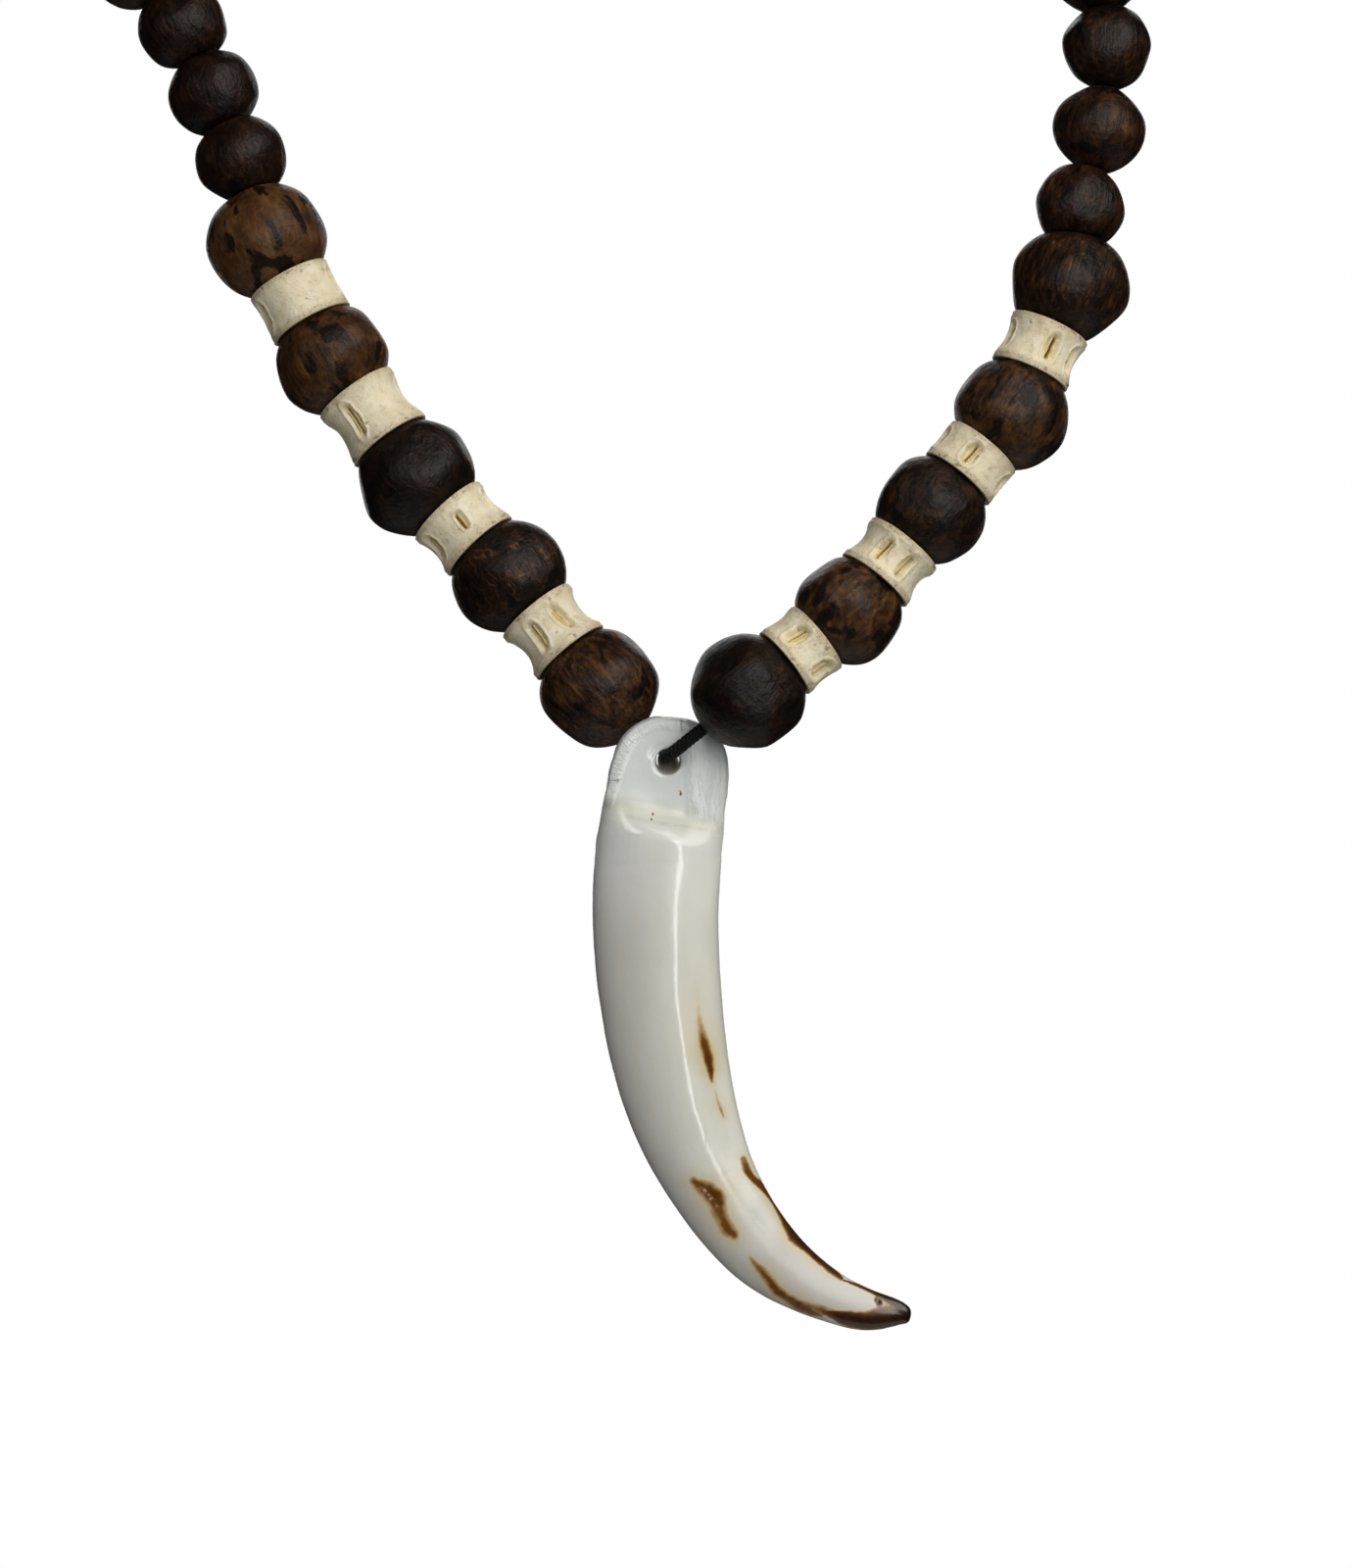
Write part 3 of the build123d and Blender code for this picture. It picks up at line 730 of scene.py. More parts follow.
# rim radius and waist depth in mm, then the pits as angle from the front, length, width, ribs and lean
boneRows = {
    "bone_left_1": (4.18, 0.75, [(-24, 3.4, 1.3, 1, 0.1), (28, 3.2, 1.3, 1, -0.2), (110, 3.0, 1.2, 1, 0.1),
                                 (178, 3.2, 1.2, 1, 0.0), (-115, 3.0, 1.3, 2, 0.1)]),
    "bone_left_2": (4.24, 0.45, [(7, 2.2, 0.9, 1, 0.1), (-58, 3.0, 1.3, 1, 0.0), (75, 2.8, 1.1, 1, 0.0),
                                 (150, 3.0, 1.3, 2, 0.1), (-130, 2.8, 1.2, 1, -0.1)]),
    "bone_left_3": (4.28, 0.65, [(-26, 3.9, 1.1, 2, 0.05), (-95, 3.4, 1.2, 1, 0.0), (85, 3.2, 1.2, 1, 0.1),
                                 (165, 3.6, 1.2, 2, 0.0)]),
    "bone_left_4": (4.24, 0.20, [(-66, 3.2, 1.2, 1, 0.0), (74, 3.0, 1.1, 1, 0.0), (145, 3.0, 1.1, 1, 0.1),
                                 (-140, 3.0, 1.1, 2, 0.0)]),
    "bone_right_1": (3.86, 0.20, [(-22, 2.6, 1.5, 1, 0.2), (50, 2.5, 1.6, 1, 0.1), (128, 2.4, 1.4, 1, 0.0),
                                  (-120, 2.4, 1.4, 1, 0.0)]),
    "bone_right_2": (4.05, 0.60, [(-21, 2.7, 1.2, 2, 0.1), (24, 3.0, 1.1, 1, 0.1), (95, 2.6, 1.2, 1, 0.0),
                                  (170, 2.8, 1.2, 1, 0.1), (-100, 2.6, 1.2, 1, 0.0)]),
    "bone_right_3": (4.00, 0.15, [(-8, 2.6, 1.4, 1, 0.0), (-75, 2.4, 1.2, 1, 0.1), (70, 2.4, 1.2, 1, 0.0),
                                  (170, 2.6, 1.3, 2, 0.0)]),
    "bone_right_4": (4.02, 0.42, [(14, 3.0, 1.3, 2, 0.0), (60, 2.9, 1.2, 1, 0.0), (135, 2.9, 1.2, 1, 0.1),
                                  (-70, 2.8, 1.2, 1, 0.0), (-145, 2.9, 1.2, 2, 0.1)]),
}
boneSettings = {
    "seatGap": 0.15, "seatRim": 0.35, "bore": 1.1, "band": 0.62, "edge": 0.16,
    "around": 264, "openness": 1.28, "pitDepth": 0.6, "ribHeight": 0.44, "ribWidth": 0.15,
    "wallRows": 73, "seatRows": 18, "edgeRows": 5,
    "slitDepth": 0.5, "slitWidth": 0.12, "lip": 0.1, "unevenness": 0.07,
}


def boneProfile(half, rim, waist, lowSeat, lowR, highSeat, highR):
    # a closed loop of (distance from the axis, height), and whether each point is on the outside
    chord = half - boneSettings["band"]
    arc = (chord ** 2 + waist ** 2) / (2 * waist)
    edge, bore = boneSettings["edge"], boneSettings["bore"]
    loop = []
    for z in np.linspace(half - edge, edge - half, boneSettings["wallRows"]):
        rho = rim if abs(z) >= chord else rim - waist + arc - sqrt(arc ** 2 - z ** 2)
        loop.append((rho, z, 1.0))
    rimIn = rim - boneSettings["seatRim"]
    for a in np.linspace(0, 90, boneSettings["edgeRows"])[1:]:
        loop.append((rim - edge + edge * cos(radians(a)), edge - half - edge * sin(radians(a)), 0.0))
    for rho in np.linspace(rimIn, bore, boneSettings["seatRows"]):
        loop.append((rho, sqrt(lowR ** 2 - rho ** 2) - lowSeat - half, 0.0))
    top = half + highSeat - sqrt(highR ** 2 - bore ** 2)
    bottom = loop[-1][1]
    for share in (0.25, 0.5, 0.75):
        loop.append((bore, bottom + share * (top - bottom), 0.0))
    for rho in np.linspace(bore, rimIn, boneSettings["seatRows"]):
        loop.append((rho, half + highSeat - sqrt(highR ** 2 - rho ** 2), 0.0))
    for a in np.linspace(90, 0, boneSettings["edgeRows"])[:-1]:
        loop.append((rim - edge + edge * cos(radians(a)), half - edge + edge * sin(radians(a)), 0.0))
    return np.array(loop)


def smoothStep(low, high, value):
    t = np.clip((value - low) / (high - low), 0, 1)
    return t * t * (3 - 2 * t)


def makeBoneSpacer(name, low, high, seed):
    rim, waist, pits = boneRows[name]
    s = boneSettings
    axis = (high["centre"] - low["centre"]).normalized()
    lowR = low["radius"] / mm + s["seatGap"]
    highR = high["radius"] / mm + s["seatGap"]
    rimIn = rim - s["seatRim"]
    lowSeat = sqrt(lowR ** 2 - rimIn ** 2)
    highSeat = sqrt(highR ** 2 - rimIn ** 2)
    half = ((high["centre"] - low["centre"]).length / mm - lowSeat - highSeat) / 2
    middle = low["centre"] + axis * (lowSeat + half) * mm
    front, side = facing(axis)
    loop = boneProfile(half, rim, waist, lowSeat, lowR, highSeat, highR)
    turns = np.arange(s["around"]) * 2 * pi / s["around"]
    angle, rho = np.meshgrid(turns, loop[:, 0])
    height = np.meshgrid(turns, loop[:, 1])[1]
    outer = np.meshgrid(turns, loop[:, 2])[1]
    place = np.stack([rho * np.cos(angle), rho * np.sin(angle), height], axis=-1)
    flatPlace = place.reshape(-1, 3)
    rough = noiseAt(flatPlace, 0.55, (seed, 2.0, 5.0)).reshape(rho.shape)
    fine = noiseAt(flatPlace, 1.7, (1.0, seed, 9.0)).reshape(rho.shape)
    pitToneAndShade = np.zeros(rho.shape)
    drop = np.zeros(rho.shape)
    lip = np.zeros(rho.shape)
    for number, (degrees, length, width, ribs, lean) in enumerate(pits):
        a = (angle - radians(degrees) + pi) % (2 * pi) - pi
        longHalf = min(length, 2 * half - 0.9) / 2
        across = a * rim - lean * height + 0.12 * fine
        wide = width * s["openness"]
        shape = ((np.abs(across) / (wide / 2)) ** 2.3 + (np.abs(height + 0.1 * rough) / longHalf) ** 2.8) ** 0.4
        inside = (1 - smoothStep(0.68, 1.0, shape)) * outer
        depth = s["pitDepth"] * inside
        places = [0.1 * (-1) ** number] if ribs == 1 else [-0.2, 0.17]
        slit = np.zeros(rho.shape)
        for rib in places:
            ribAt = rib * wide + 0.05 * fine
            short = 1 - smoothStep(0.55, 0.95, np.abs(height) / longHalf)
            depth -= s["ribHeight"] * np.exp(-((across - ribAt) / s["ribWidth"]) ** 2) * inside * short
            beside = across - ribAt + (0.26 if rib > 0 else -0.26)
            slit = np.maximum(slit, np.exp(-(beside / s["slitWidth"]) ** 2) * inside * short)
        depth += s["slitDepth"] * slit
        drop = np.maximum(drop, depth)
        # a warm tone inside the pit, rising to painted shade in its slits
        pitToneAndShade = np.maximum(pitToneAndShade, inside * np.clip(0.3 + 0.7 * slit, 0, 1))
        lip = np.maximum(lip, np.exp(-((shape - 1.18) / 0.15) ** 2) * outer)
    worn = smoothStep(0.5, 0.0, half - np.abs(height)) * outer
    rho = rho - drop + s["lip"] * lip + outer * s["unevenness"] * (rough - 0.35) - 0.05 * worn * np.abs(fine)
    place = np.stack([rho * np.cos(angle), rho * np.sin(angle), height], axis=-1).reshape(-1, 3)
    around, steps = s["around"], len(loop)
    nextTurn = [(i + 1) % around for i in range(around)]
    faces = [(j * around + i, (j + 1) % steps * around + i, (j + 1) % steps * around + k, j * around + k)
             for j in range(steps) for i, k in enumerate(nextTurn)]
    basis = np.array([front, side, axis])
    points = np.array(middle) + (place @ basis) * mm
    mesh = bpy.data.meshes.new(name + "_dressed")
    mesh.from_pydata(points.tolist(), [], faces)
    mesh.update()
    if sum(f.normal.dot(Vector(points[f.vertices[0]]) - middle) for f in mesh.polygons[:200]) < 0:
        mesh.flip_normals()
    mesh.shade_smooth()
    # the rims where the beads sit: more dirt there, and painted shade where the beads meet the bone
    nearRim = smoothStep(0.95, 0.2, half - np.abs(height)) * outer + (1 - outer)
    crack = smoothStep(0.60, 0.72, fine + 0.25 * nearRim) * outer * 0.6
    for key, values in (("pit", pitToneAndShade), ("rim", nearRim), ("dirt", crack)):
        setValues(mesh, key, values)
    setValues(mesh, "bonePlace", flatPlace + np.array([seed * 13.0, 0, 0]), "FLOAT_VECTOR")
    mesh.materials.append(bone)
    piece = bpy.data.objects.new(name + "_dressed", mesh)
    scene.collection.objects.link(piece)
    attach(piece, "strand")
    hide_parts(name)


for side in ("left", "right"):
    balls = strands[side]["balls"]
    for i in range(1, 5):
        makeBoneSpacer("bone_%s_%d" % (side, i), balls[i - 1], balls[i], i + (0 if side == "left" else 10))
print("bone spacers are carved")


braidSettings = {
    "Strands": 6,             # each way round
    "Pitch": 3.0 * mm,
    "Ride": 0.48 * mm,
    "Weave": 0.045 * mm,
    "Strand Radius": 0.165 * mm,
    "Core Radius": 0.46 * mm,
    "Step": 0.26 * mm,
    "Sides": 4,
}
frontBraid = {"Step": 0.1 * mm, "Sides": 6}      # the run that is seen is finer
claspReach = 3.6 * mm


def makeBraidTree():
    # strands wind both ways round the incoming line and take turns to lie on top
    tree, add = newTree("braided cord", braidSettings)
    entry = add("NodeGroupInput").outputs
    line = add("MeshToCurve", {"Mesh": entry["Geometry"]})
    even = add("ResampleCurve", {"Curve": line, "Length": entry["Step"]}, mode="LENGTH")
    parts = []
    for way in (1.0, -1.0):
        copies = add("DuplicateElements", {"Geometry": even, "Amount": entry["Strands"]}, domain="SPLINE")
        number = copies.outputs["Duplicate Index"]
        along = add("SplineParameter").outputs["Length"]
        turns = add("Math", [along, entry["Pitch"]], "DIVIDE")
        start = add("Math", [number, entry["Strands"]], "DIVIDE")
        turned = add("Math", [turns, way, start], "MULTIPLY_ADD")
        angle = add("Math", [turned, 2 * pi], "MULTIPLY")
        waveTurns = add("Math", [turns, entry["Strands"]], "MULTIPLY")
        waveAngle = add("Math", [waveTurns, 2 * pi], "MULTIPLY")
        wave = add("Math", [waveAngle], "COSINE")
        swing = add("Math", [entry["Weave"], way], "MULTIPLY")
        ride = add("Math", [wave, swing, entry["Ride"]], "MULTIPLY_ADD")
        cosine = add("Math", [angle], "COSINE")
        sine = add("Math", [angle], "SINE")
        alongNormal = add("Math", [cosine, ride], "MULTIPLY")
        alongSide = add("Math", [sine, ride], "MULTIPLY")
        normal = add("InputNormal")
        tangent = add("InputTangent")
        side = add("VectorMath", [tangent, normal], "CROSS_PRODUCT")
        first = add("VectorMath", [normal, alongNormal], "SCALE")
        second = add("VectorMath", [side, alongSide], "SCALE")
        offset = add("VectorMath", [first, second], "ADD")
        wound = add("SetPosition", {"Geometry": copies, "Offset": offset})
        section = add("CurvePrimitiveCircle", {"Resolution": entry["Sides"], "Radius": entry["Strand Radius"]})
        parts.append(add("CurveToMesh", {"Curve": wound, "Profile Curve": section, "Fill Caps": True}))
    coreSection = add("CurvePrimitiveCircle", {"Resolution": 14, "Radius": entry["Core Radius"]})
    core = add("CurveToMesh", {"Curve": even, "Profile Curve": coreSection, "Fill Caps": True})
    whole = add("JoinGeometry")
    for part in parts + [core]:
        tree.links.new(part.outputs["Mesh"], whole.inputs["Geometry"])
    finishTree(add, whole, entry["Material"])
    return tree


def routeMesh(name, points):
    # the smooth line of a NURBS spline through the route
    data = bpy.data.curves.new(name, "CURVE")
    data.dimensions = "3D"
    spline = data.splines.new("NURBS")
    spline.points.add(len(points) - 1)
    for knot, point in zip(spline.points, points):
        knot.co = (*point, 1.0)
    spline.order_u = 3
    spline.use_endpoint_u = True
    spline.resolution_u = 12
    holder = bpy.data.objects.new(name, data)
    scene.collection.objects.link(holder)
    mesh = bakedMesh(holder)
    bpy.data.objects.remove(holder)
    return mesh


def strandStops(side):
    points = []
    for ball in strands[side]["balls"]:
        points += [ball["lowStop"], ball["highStop"]]
    mouth = strands[side]["mouth"]
    inward = Vector((claspReach if side == "left" else -claspReach, 0, 0))
    return points + [mouth, mouth + inward]


def makeCord():
    left, right = strandStops("left"), strandStops("right")
    cut = 3                   # the front run reaches this many stops into each strand
    behind = strands["left"]["first"] + Vector(cordSettings["behind"])
    before = strands["right"]["first"]
    front = left[:cut][::-1] + [
        behind, behind * 0.55 + before * 0.45, behind * 0.45 + before * 0.55, before] + right[:cut]
    tree = makeBraidTree()
    for name, points, changes in (("cord_front", front, frontBraid), ("cord_left", left[cut - 2:], {}),
                                  ("cord_right", right[cut - 2:], {})):
        piece = growMesh(
            name, tree, routeMesh(name + "_route", points), {**braidSettings, **changes, "Material": waxedCotton})
        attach(piece, "strand")
        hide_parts("thread")


makeCord()
print("cord is braided")


tuskSettings = {
    "voxel": 0.19 * mm,
    "smoothing": 5,
    "stepSmoothing": 200,
    "rollSmoothing": 14,
    "tabLean": 0.035,         # the tab thins to the right
    "tabMiddle": -1.5,        # height about which its rim is rounded
    "tabLevel": -1.8,         # front face of the tab, and how far its rim falls off, by the distance from the edge
    "rimFall": [(0.0, 1.2), (0.1, 0.75), (0.3, 0.45), (0.5, 0.3), (0.8, 0.16), (1.1, 0.05), (1.4, 0.0)],
    "edgeTurn": 0.22,         # how sharply the face right of the front edge falls away
    "edgeRound": 0.2,
    "unevenness": 0.05,
    "tabHalf": 1.8,
    "holeRise": 1.15,         # the hole is drilled aslant, higher at the back
    "holeTaper": 0.25,        # and narrower there, about the cord
    "tip": (21.7, -55.8),
    "rollLevels": (-11.2, -1.9, 0.4),        # heights where the width of the tusk is read: lowest, highest, step
    "rollFaces": (-3.2, -9.8),               # heights where the faces of the tab and of the body are read
}

# all in mm from the middle of the hole: x, z, half width, strength
stainRows = {
    "upperStreak": [(1.64, -20.52, 0.24, 0.06), (1.61, -22.63, 0.34, 0.14), (1.67, -24.95, 0.40, 0.28),
                    (1.85, -26.88, 0.48, 0.50), (2.11, -28.06, 0.50, 0.74), (2.33, -29.22, 0.44, 0.86),
                    (2.51, -30.39, 0.34, 0.78), (2.59, -31.46, 0.2, 0.50)],
    "thinStreak": [(2.76, -31.75, 0.14, 0.15), (2.99, -33.31, 0.19, 0.34), (3.25, -34.19, 0.21, 0.44),
                   (3.53, -35.07, 0.13, 0.36)],
    "pitPatch": [(0.14, -41.14, 0.50, 0.52), (0.65, -41.55, 0.64, 0.62), (1.39, -42.08, 0.84, 0.66),
                 (2.10, -42.89, 0.92, 0.76), (2.35, -43.98, 0.86, 0.62), (2.70, -45.14, 0.70, 0.54),
                 (3.18, -46.03, 0.76, 0.60), (3.73, -46.60, 0.54, 0.58)],
    "rightEdge": [(5.17, -39.22, 0.34, 0.50), (5.45, -40.19, 0.44, 0.60), (5.95, -41.08, 0.36, 0.66),
                  (6.95, -42.10, 0.34, 0.74), (8.15, -43.60, 0.46, 0.82), (8.95, -45.30, 0.55, 0.90),
                  (9.75, -47.00, 0.78, 0.96), (10.90, -48.25, 0.55, 0.96), (12.05, -49.50, 0.48, 0.92),
                  (13.10, -50.60, 0.42, 0.88), (14.00, -51.50, 0.22, 0.80)],
    "lowerLeft": [(5.14, -48.85, 0.18, 0.36), (5.62, -49.55, 0.34, 0.50), (6.33, -50.45, 0.48, 0.56),
                  (7.05, -51.46, 0.50, 0.60), (7.63, -52.36, 0.52, 0.70), (8.54, -53.12, 0.46, 0.62),
                  (9.74, -53.98, 0.52, 0.80), (11.00, -54.70, 0.34, 0.70), (11.90, -55.10, 0.16, 0.50)],
    "tipBelly": [(12.20, -54.75, 0.25, 0.60), (13.20, -55.10, 0.50, 0.80), (14.40, -55.50, 0.74, 0.88),
                 (15.60, -55.80, 0.84, 0.90), (16.95, -55.98, 0.88, 0.92), (18.50, -55.85, 0.84, 0.94),
                 (19.77, -55.60, 0.80, 0.98), (20.82, -55.73, 0.80, 1.10), (21.90, -55.90, 1.0, 1.15)],
    "tipTop": [(14.20, -51.70, 0.12, 0.60), (15.50, -52.25, 0.16, 0.70), (16.80, -52.85, 0.26, 0.80),
               (18.20, -53.55, 0.40, 0.90), (19.44, -54.40, 0.50, 1.00), (20.64, -55.30, 0.62, 1.15)],
    "tipSpot": [(17.37, -53.80, 0.28, 0.90), (17.62, -54.25, 0.30, 0.95)],
    "tipRed": [(16.20, -55.25, 0.42, 0.62), (17.60, -55.10, 0.62, 0.70), (18.74, -54.90, 0.76, 0.74),
               (19.80, -55.10, 0.72, 0.80)],
    "smoke": [(9.40, -53.33, 0.29, 0.30), (10.52, -53.98, 0.48, 0.45), (11.83, -54.53, 0.58, 0.50),
              (12.97, -54.79, 0.48, 0.40)],
    "speckA": [(0.94, -2.75, 0.08, 1.00), (1.02, -3.24, 0.06, 0.90)],
    "speckB": [(-1.78, -4.90, 0.08, 0.90), (-1.70, -5.15, 0.05, 0.90)],
    "speckC": [(-1.99, -5.43, 0.06, 0.90), (-1.87, -5.57, 0.05, 0.80)],
}
hazeWidths = {"upperStreak": 3.2, "thinStreak": 3.4, "pitPatch": 2.0, "rightEdge": 1.7, "lowerLeft": 2.3}
pitRows = [(1.45, -42.0, 0.42, 0.16), (2.05, -42.75, 0.5, 0.18), (2.5, -43.6, 0.35, 0.12), (0.9, -41.6, 0.3, 0.1),
           (17.45, -53.95, 0.28, 0.12)]
edgeLine = [(-0.9, -6.9), (0.4, -7.3), (1.2, -8.4), (1.54, -9.91), (0.92, -12.29), (0.39, -14.66), (-0.09, -18.01),
            (-0.38, -21.36), (-0.36, -24.25), (-0.14, -27.15), (0.23, -30.55), (0.71, -33.95), (1.66, -37.37),
            (3.20, -40.83), (5.40, -44.33)]
stepLine = [(-7.0, -3.60), (-5.15, -4.03), (-2.39, -4.68), (0.45, -5.52), (3.95, -6.59), (6.0, -7.00)]
creaseLine = [(-4.4, -5.0), (-0.8, -5.95), (3.4, -6.75)]


def nearLine(x, z, line):
    # distance to a broken line, how far along it the nearest place is, and the side, above zero on the right
    best = np.full(len(x), 1e9)
    place = np.zeros(len(x))
    side = np.ones(len(x))
    for i in range(len(line) - 1):
        ax, az = line[i][:2]
        bx, bz = line[i + 1][:2]
        dx, dz = bx - ax, bz - az
        t = np.clip(((x - ax) * dx + (z - az) * dz) / (dx * dx + dz * dz), 0, 1)
        d = np.hypot(x - ax - t * dx, z - az - t * dz)
        closer = d < best
        best[closer] = d[closer]
        place[closer] = i + t[closer]
        side[closer] = np.sign(dx * (z - az) - dz * (x - ax))[closer]
    return best, place, side


def heightAlong(x, line):
    # height of a broken line, given as pairs from left to right
    return np.interp(x, *zip(*line))


def strokeAt(x, z, rows, widen, wobble, power=2):
    best, place, _ = nearLine(x, z, rows)
    steps = np.arange(len(rows))
    width = np.interp(place, steps, [row[2] for row in rows]) * widen
    strength = np.interp(place, steps, [row[3] for row in rows])
    return strength * np.exp(-0.8 * np.abs(best / width + wobble) ** power) * smoothStep(2.4, 1.6, best / width)


def rollStep(points):
    # joins the tab and the body by one soft roll along the step, each level by its own share of the width
    x, y, z = points.T
    levels = np.arange(*tuskSettings["rollLevels"])
    near = [np.abs(z - level) < 0.3 for level in levels]
    left = np.interp(z, levels, [x[n].min() for n in near])
    right = np.interp(z, levels, [x[n].max() for n in near])
    share = (x - left) / (right - left)
    grid = np.linspace(0.0, 1.0, 51)
    faces = []
    for level in tuskSettings["rollFaces"]:
        chosen = (np.abs(z - level) < 0.3) & (y < -0.2)
        weights = np.exp(-((share[chosen][None, :] - grid[:, None]) / 0.015) ** 2) + 1e-12
        faces.append((weights * y[chosen]).sum(axis=1) / weights.sum(axis=1))
    height = heightAlong(x, stepLine)
    body = smoothStep(0.9, -2.5, z - height)
    wanted = (1 - body) * np.interp(share, grid, faces[0]) + body * np.interp(share, grid, faces[1])
    change = smoothStep(-3.0, -3.6, z) * smoothStep(-10.3, -9.5, z) * smoothStep(-0.4, -1.1, y)
    points[:, 1] += change * (wanted - y)


def softenPiece(piece, passes, groupName=""):
    soften = piece.modifiers.new("soften", "SMOOTH")
    soften.factor = 0.5
    soften.iterations = passes
    soften.vertex_group = groupName


def keepShape(piece):
    # gives the piece what its modifiers make of it, and returns its points in mm from the hole
    mesh = bakedMesh(piece)
    piece.modifiers.clear()
    piece.data = mesh
    return (meshPoints(mesh) - np.array(hole)) / mm


def movePoints(mesh, points):
    mesh.vertices.foreach_set("co", (points * mm + np.array(hole)).ravel())
    mesh.update()


def makePendant():
    shape = mergedCopy("pendant")
    mesh = bpy.data.meshes.new("pendant_dressed")
    shape.to_mesh(mesh)
    shape.free()
    piece = bpy.data.objects.new("pendant_dressed", mesh)
    scene.collection.objects.link(piece)
    remesh = piece.modifiers.new("remesh", "REMESH")
    remesh.mode = "VOXEL"
    remesh.voxel_size = tuskSettings["voxel"]
    softenPiece(piece, tuskSettings["smoothing"])
    points = keepShape(piece)

    # the step below the tab is worn soft, and the tip a little
    tip = tuskSettings["tip"]
    worn = smoothStep(3.6, 1.6, nearLine(points[:, 0], points[:, 2], stepLine)[0])
    worn = np.maximum(worn, 0.35 * smoothStep(1.8, 0.6, np.hypot(points[:, 0] - tip[0], points[:, 2] - tip[1])))
    group = piece.vertex_groups.new(name="worn")
    for i in np.flatnonzero(worn > 0.01):
        group.add([int(i)], float(worn[i]), "REPLACE")
    softenPiece(piece, tuskSettings["stepSmoothing"], "worn")
    points = keepShape(piece)
    rollStep(points)
    movePoints(piece.data, points)
    softenPiece(piece, tuskSettings["rollSmoothing"], "worn")
    points = keepShape(piece)
    piece.vertex_groups.clear()
    mesh = piece.data
    normals = np.empty(len(points) * 3)
    mesh.vertices.foreach_get("normal", normals)
    normals = normals.reshape(-1, 3)
    x, y, z = points.T
    front = normals[:, 1] < 0.25
    coarse = noiseAt(points, 0.3, (4.0, 1.0, 7.0))
    fine = noiseAt(points, 1.9, (2.0, 8.0, 3.0))

    push = tuskSettings["unevenness"] * coarse
    toEdge, alongEdge, side = nearLine(x, z, edgeLine)
    fade = smoothStep(0.2, 2.2, alongEdge) * smoothStep(15.0, 12.5, alongEdge)
    way = np.linspace(-2, 6, 1601)
    turn = tuskSettings["edgeTurn"]
    slope = (0.4 * turn * smoothStep(-0.9, 0.0, way) + 0.6 * turn * smoothStep(0.0, tuskSettings["edgeRound"], way)
             - turn * smoothStep(0.5, 1.7, way))
    fall = np.cumsum(slope) * (way[1] - way[0]) * (1 - smoothStep(1.6, 4.2, way))
    push -= np.where(front, np.interp(toEdge * side, way, fall) * fade, 0)
    toStep, _, _ = nearLine(x, z, stepLine)
    lineHeight = heightAlong(x, stepLine)
    onTab = smoothStep(-0.5, 0.8, z - lineHeight)
    around = np.arctan2(z - tuskSettings["tabMiddle"], x)
    outward = np.hypot(x, z - tuskSettings["tabMiddle"])
    sectorStep = radians(4)
    sector = ((around + pi) / sectorStep).astype(int)
    reach = np.array([outward[(sector == i) & (z > -14)].max(initial=0.1) for i in range(sector.max() + 1)])
    middles = -pi + sectorStep * (np.arange(len(reach)) + 0.5)
    inset = np.interp(around, middles, reach, period=2 * pi) - outward
    rimFall = heightAlong(inset, tuskSettings["rimFall"])
    onRim = (inset < tuskSettings["rimFall"][-1][0]) * smoothStep(0.1, 0.45, -normals[:, 1])
    rimRise = np.minimum(tuskSettings["tabLevel"] + rimFall - y, 0) * onRim
    for px, pz, size, depth in pitRows:
        d = np.hypot(x - px, z - pz) / size
        push -= np.where(front, depth * np.exp(-d ** 2) - 0.03 * np.exp(-((d - 1.5) / 0.4) ** 2), 0)
    fromHole = np.hypot(x, z)
    turned = np.degrees(np.arctan2(z, x))
    rubbed = smoothStep(85, 105, turned) * smoothStep(172, 150, turned)      # the cord has rubbed the rim of the hole
    push -= np.where(front, 0.12 * np.exp(-((fromHole - 1.75) / 0.28) ** 2) * rubbed, 0)
    lean = tuskSettings["tabLean"] * np.clip(x - 1.0, 0, None) ** 2 * smoothStep(1.0, -1.0, y)
    points = points + normals * push[:, None]
    points[:, 1] += onTab * (rimRise + lean)
    nearHole = smoothStep(2.9, 1.5, fromHole) * (np.abs(y) < 2.2)
    throughHole = nearHole * (y / tuskSettings["tabHalf"] + 1) / 2
    narrow = tuskSettings["holeTaper"] * throughHole * smoothStep(2.4, 1.3, fromHole)
    points[:, 0] -= narrow * (points[:, 0] + 0.4)
    points[:, 2] -= narrow * points[:, 2]
    points[:, 2] += tuskSettings["holeRise"] * throughHole
    movePoints(mesh, points)

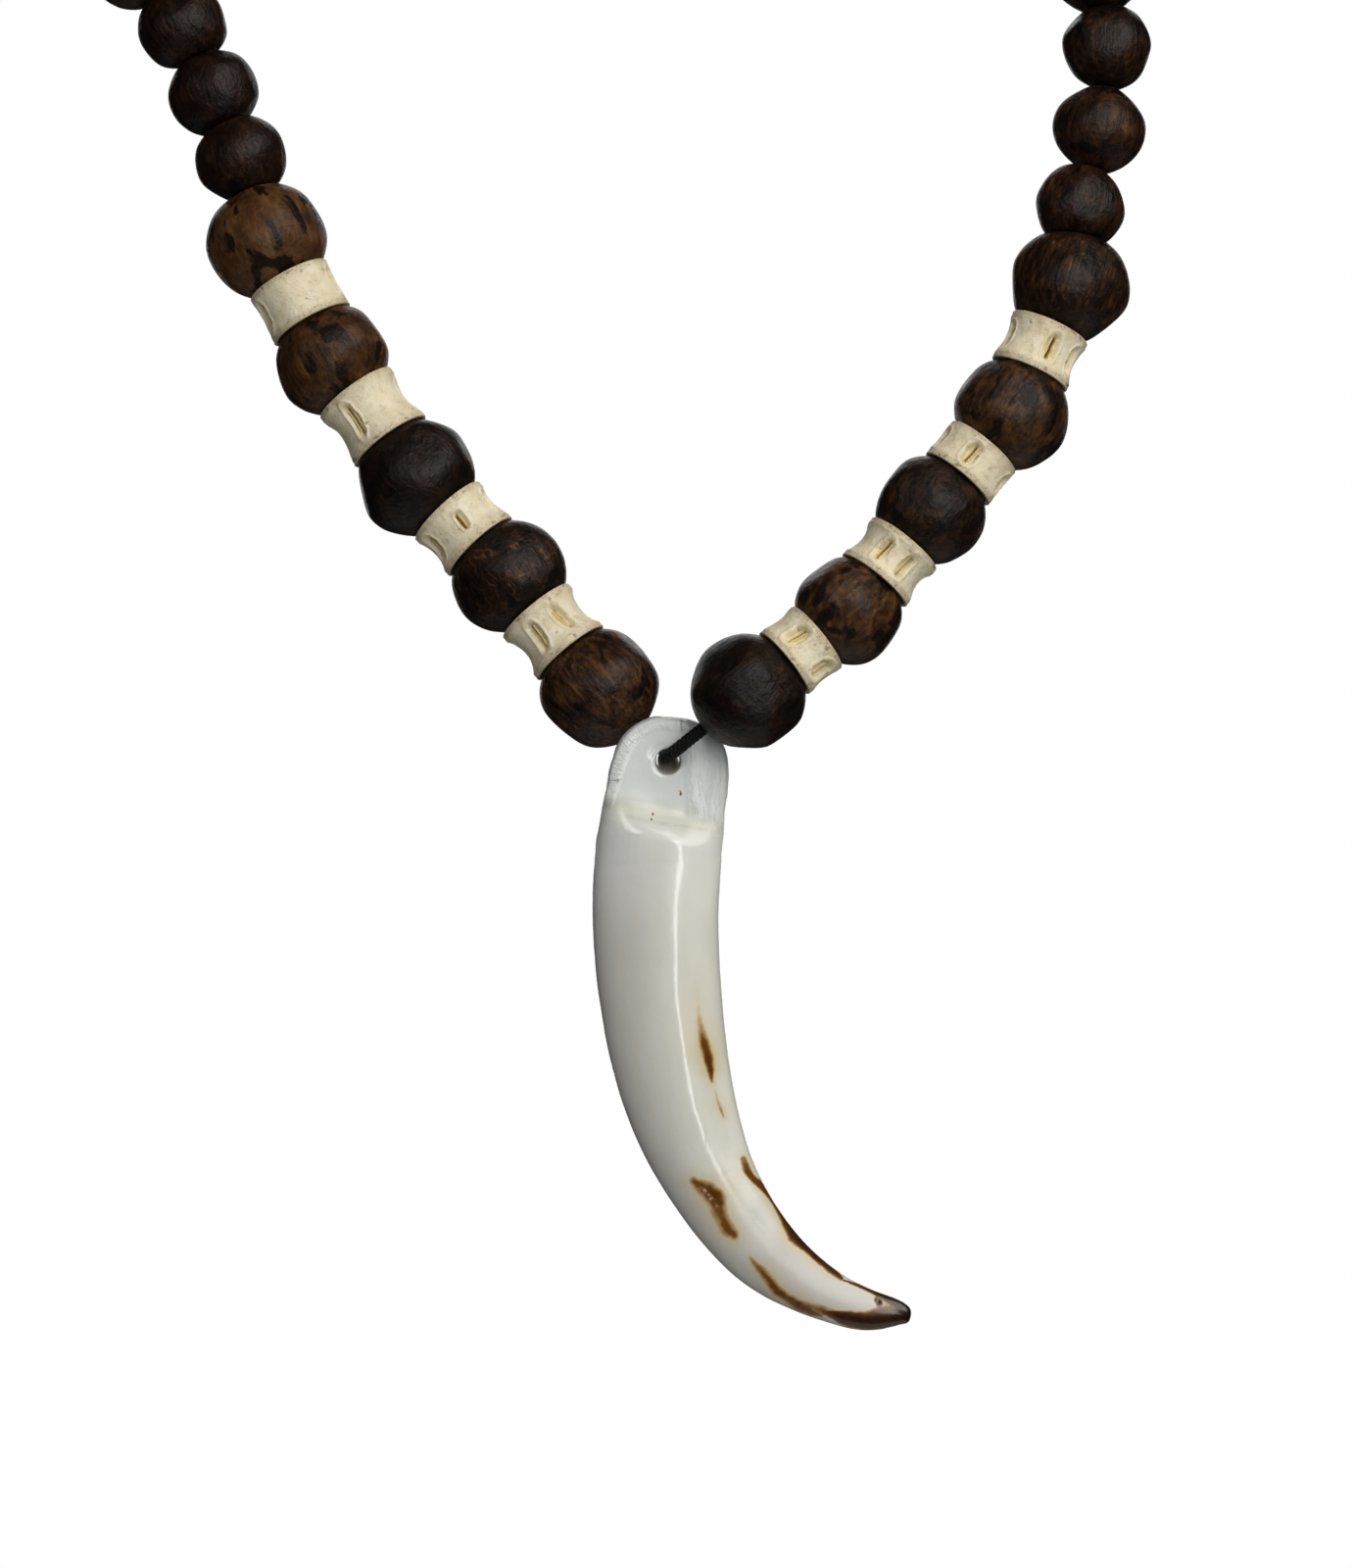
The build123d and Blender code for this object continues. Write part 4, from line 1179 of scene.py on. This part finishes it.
    stain = np.zeros(len(x))
    haze = np.zeros(len(x))
    burnt = ("tipBelly", "tipTop", "tipSpot", "speckA", "speckB", "speckC")
    allRound = ("tipBelly", "tipTop")
    crisp = ("rightEdge", "tipBelly", "tipTop", "tipSpot")
    for name, rows in stainRows.items():
        wobble = 0.0 if name.startswith("speck") else 0.16 * fine
        seenHere = np.ones(len(x), bool) if name in allRound else front
        share = 1.0 if name in burnt else 0.9
        power = 4 if name in crisp else 2
        stain = np.maximum(stain, np.where(seenHere, share * strokeAt(x, z, rows, 1.0, wobble, power), 0))
        if name in hazeWidths:
            haze = np.maximum(haze, np.where(seenHere, strokeAt(x, z, rows, hazeWidths[name], 0.15 * fine), 0))
    # painted shade: a thin dark olive line along the crease under the step
    toCrease, _, _ = nearLine(x, z, creaseLine)
    crease = 0.13 * np.exp(-(toCrease / 0.16) ** 2) * (normals[:, 1] < -0.3) * (1 + fine)
    rounded = smoothStep(0.1, 0.4, inset) * smoothStep(1.7, 1.1, inset)
    fingered = smoothStep(1.3, 2.4, x) * smoothStep(5.4, 4.8, x) * smoothStep(3.8, 2.8, z)
    onRidge = 0.1 * np.exp(-(toEdge / 0.6) ** 2) * fade
    dull = np.maximum(smoothStep(-38, -46, z), 0.7 * np.exp(-(toStep / 1.3) ** 2))
    looks = {
        "stain": stain,
        "haze": 0.8 * haze,
        "tint": 0.6 * np.exp(-(toStep / 1.0) ** 2) * (normals[:, 1] < -0.3),
        "creaseShade": crease,
        "ripple": np.maximum(onTab * np.maximum(0.6 * rounded, 0.9 * fingered), onRidge),
        "cool": np.maximum(0.9 * onTab, 0.5 * smoothStep(-20, -6, z)),
        # painted shade: greyer left of the front edge, on the side turned from the light, and greyer towards the tip
        "grey": np.maximum(0.85 * smoothStep(-0.3, -5.2, toEdge * side), 0.75 * smoothStep(-39, -49, z)),
        "matt": dull * (1 - 0.8 * np.clip(stain, 0, 1)),
    }
    for name, values in looks.items():
        setValues(mesh, name, values)
    rightAt = np.stack([1.15 * x + 0.02 * z * z, 0.3 * z, y * 0], axis=-1)
    roundAt = np.stack([6.0 * around, 0.35 * outward, y * 0], axis=-1)
    setValues(mesh, "rippleAt", np.where(x[:, None] > 1.5, rightAt, roundAt), "FLOAT_VECTOR")
    mesh.update()
    mesh.shade_smooth()
    mesh.materials.clear()
    mesh.materials.append(enamel)
    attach(piece, "pendant")
    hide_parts("pendant")
    return piece


pendant = makePendant()
print("pendant is carved: %d vertices" % len(pendant.data.vertices))


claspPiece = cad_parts["clasp"]
claspPiece.data.materials.clear()
claspPiece.data.materials.append(brass)

triangles = sum(len(p.vertices) - 2 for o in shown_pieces() if o.type == "MESH" for p in o.data.polygons)
print("triangles in all: %d" % triangles)
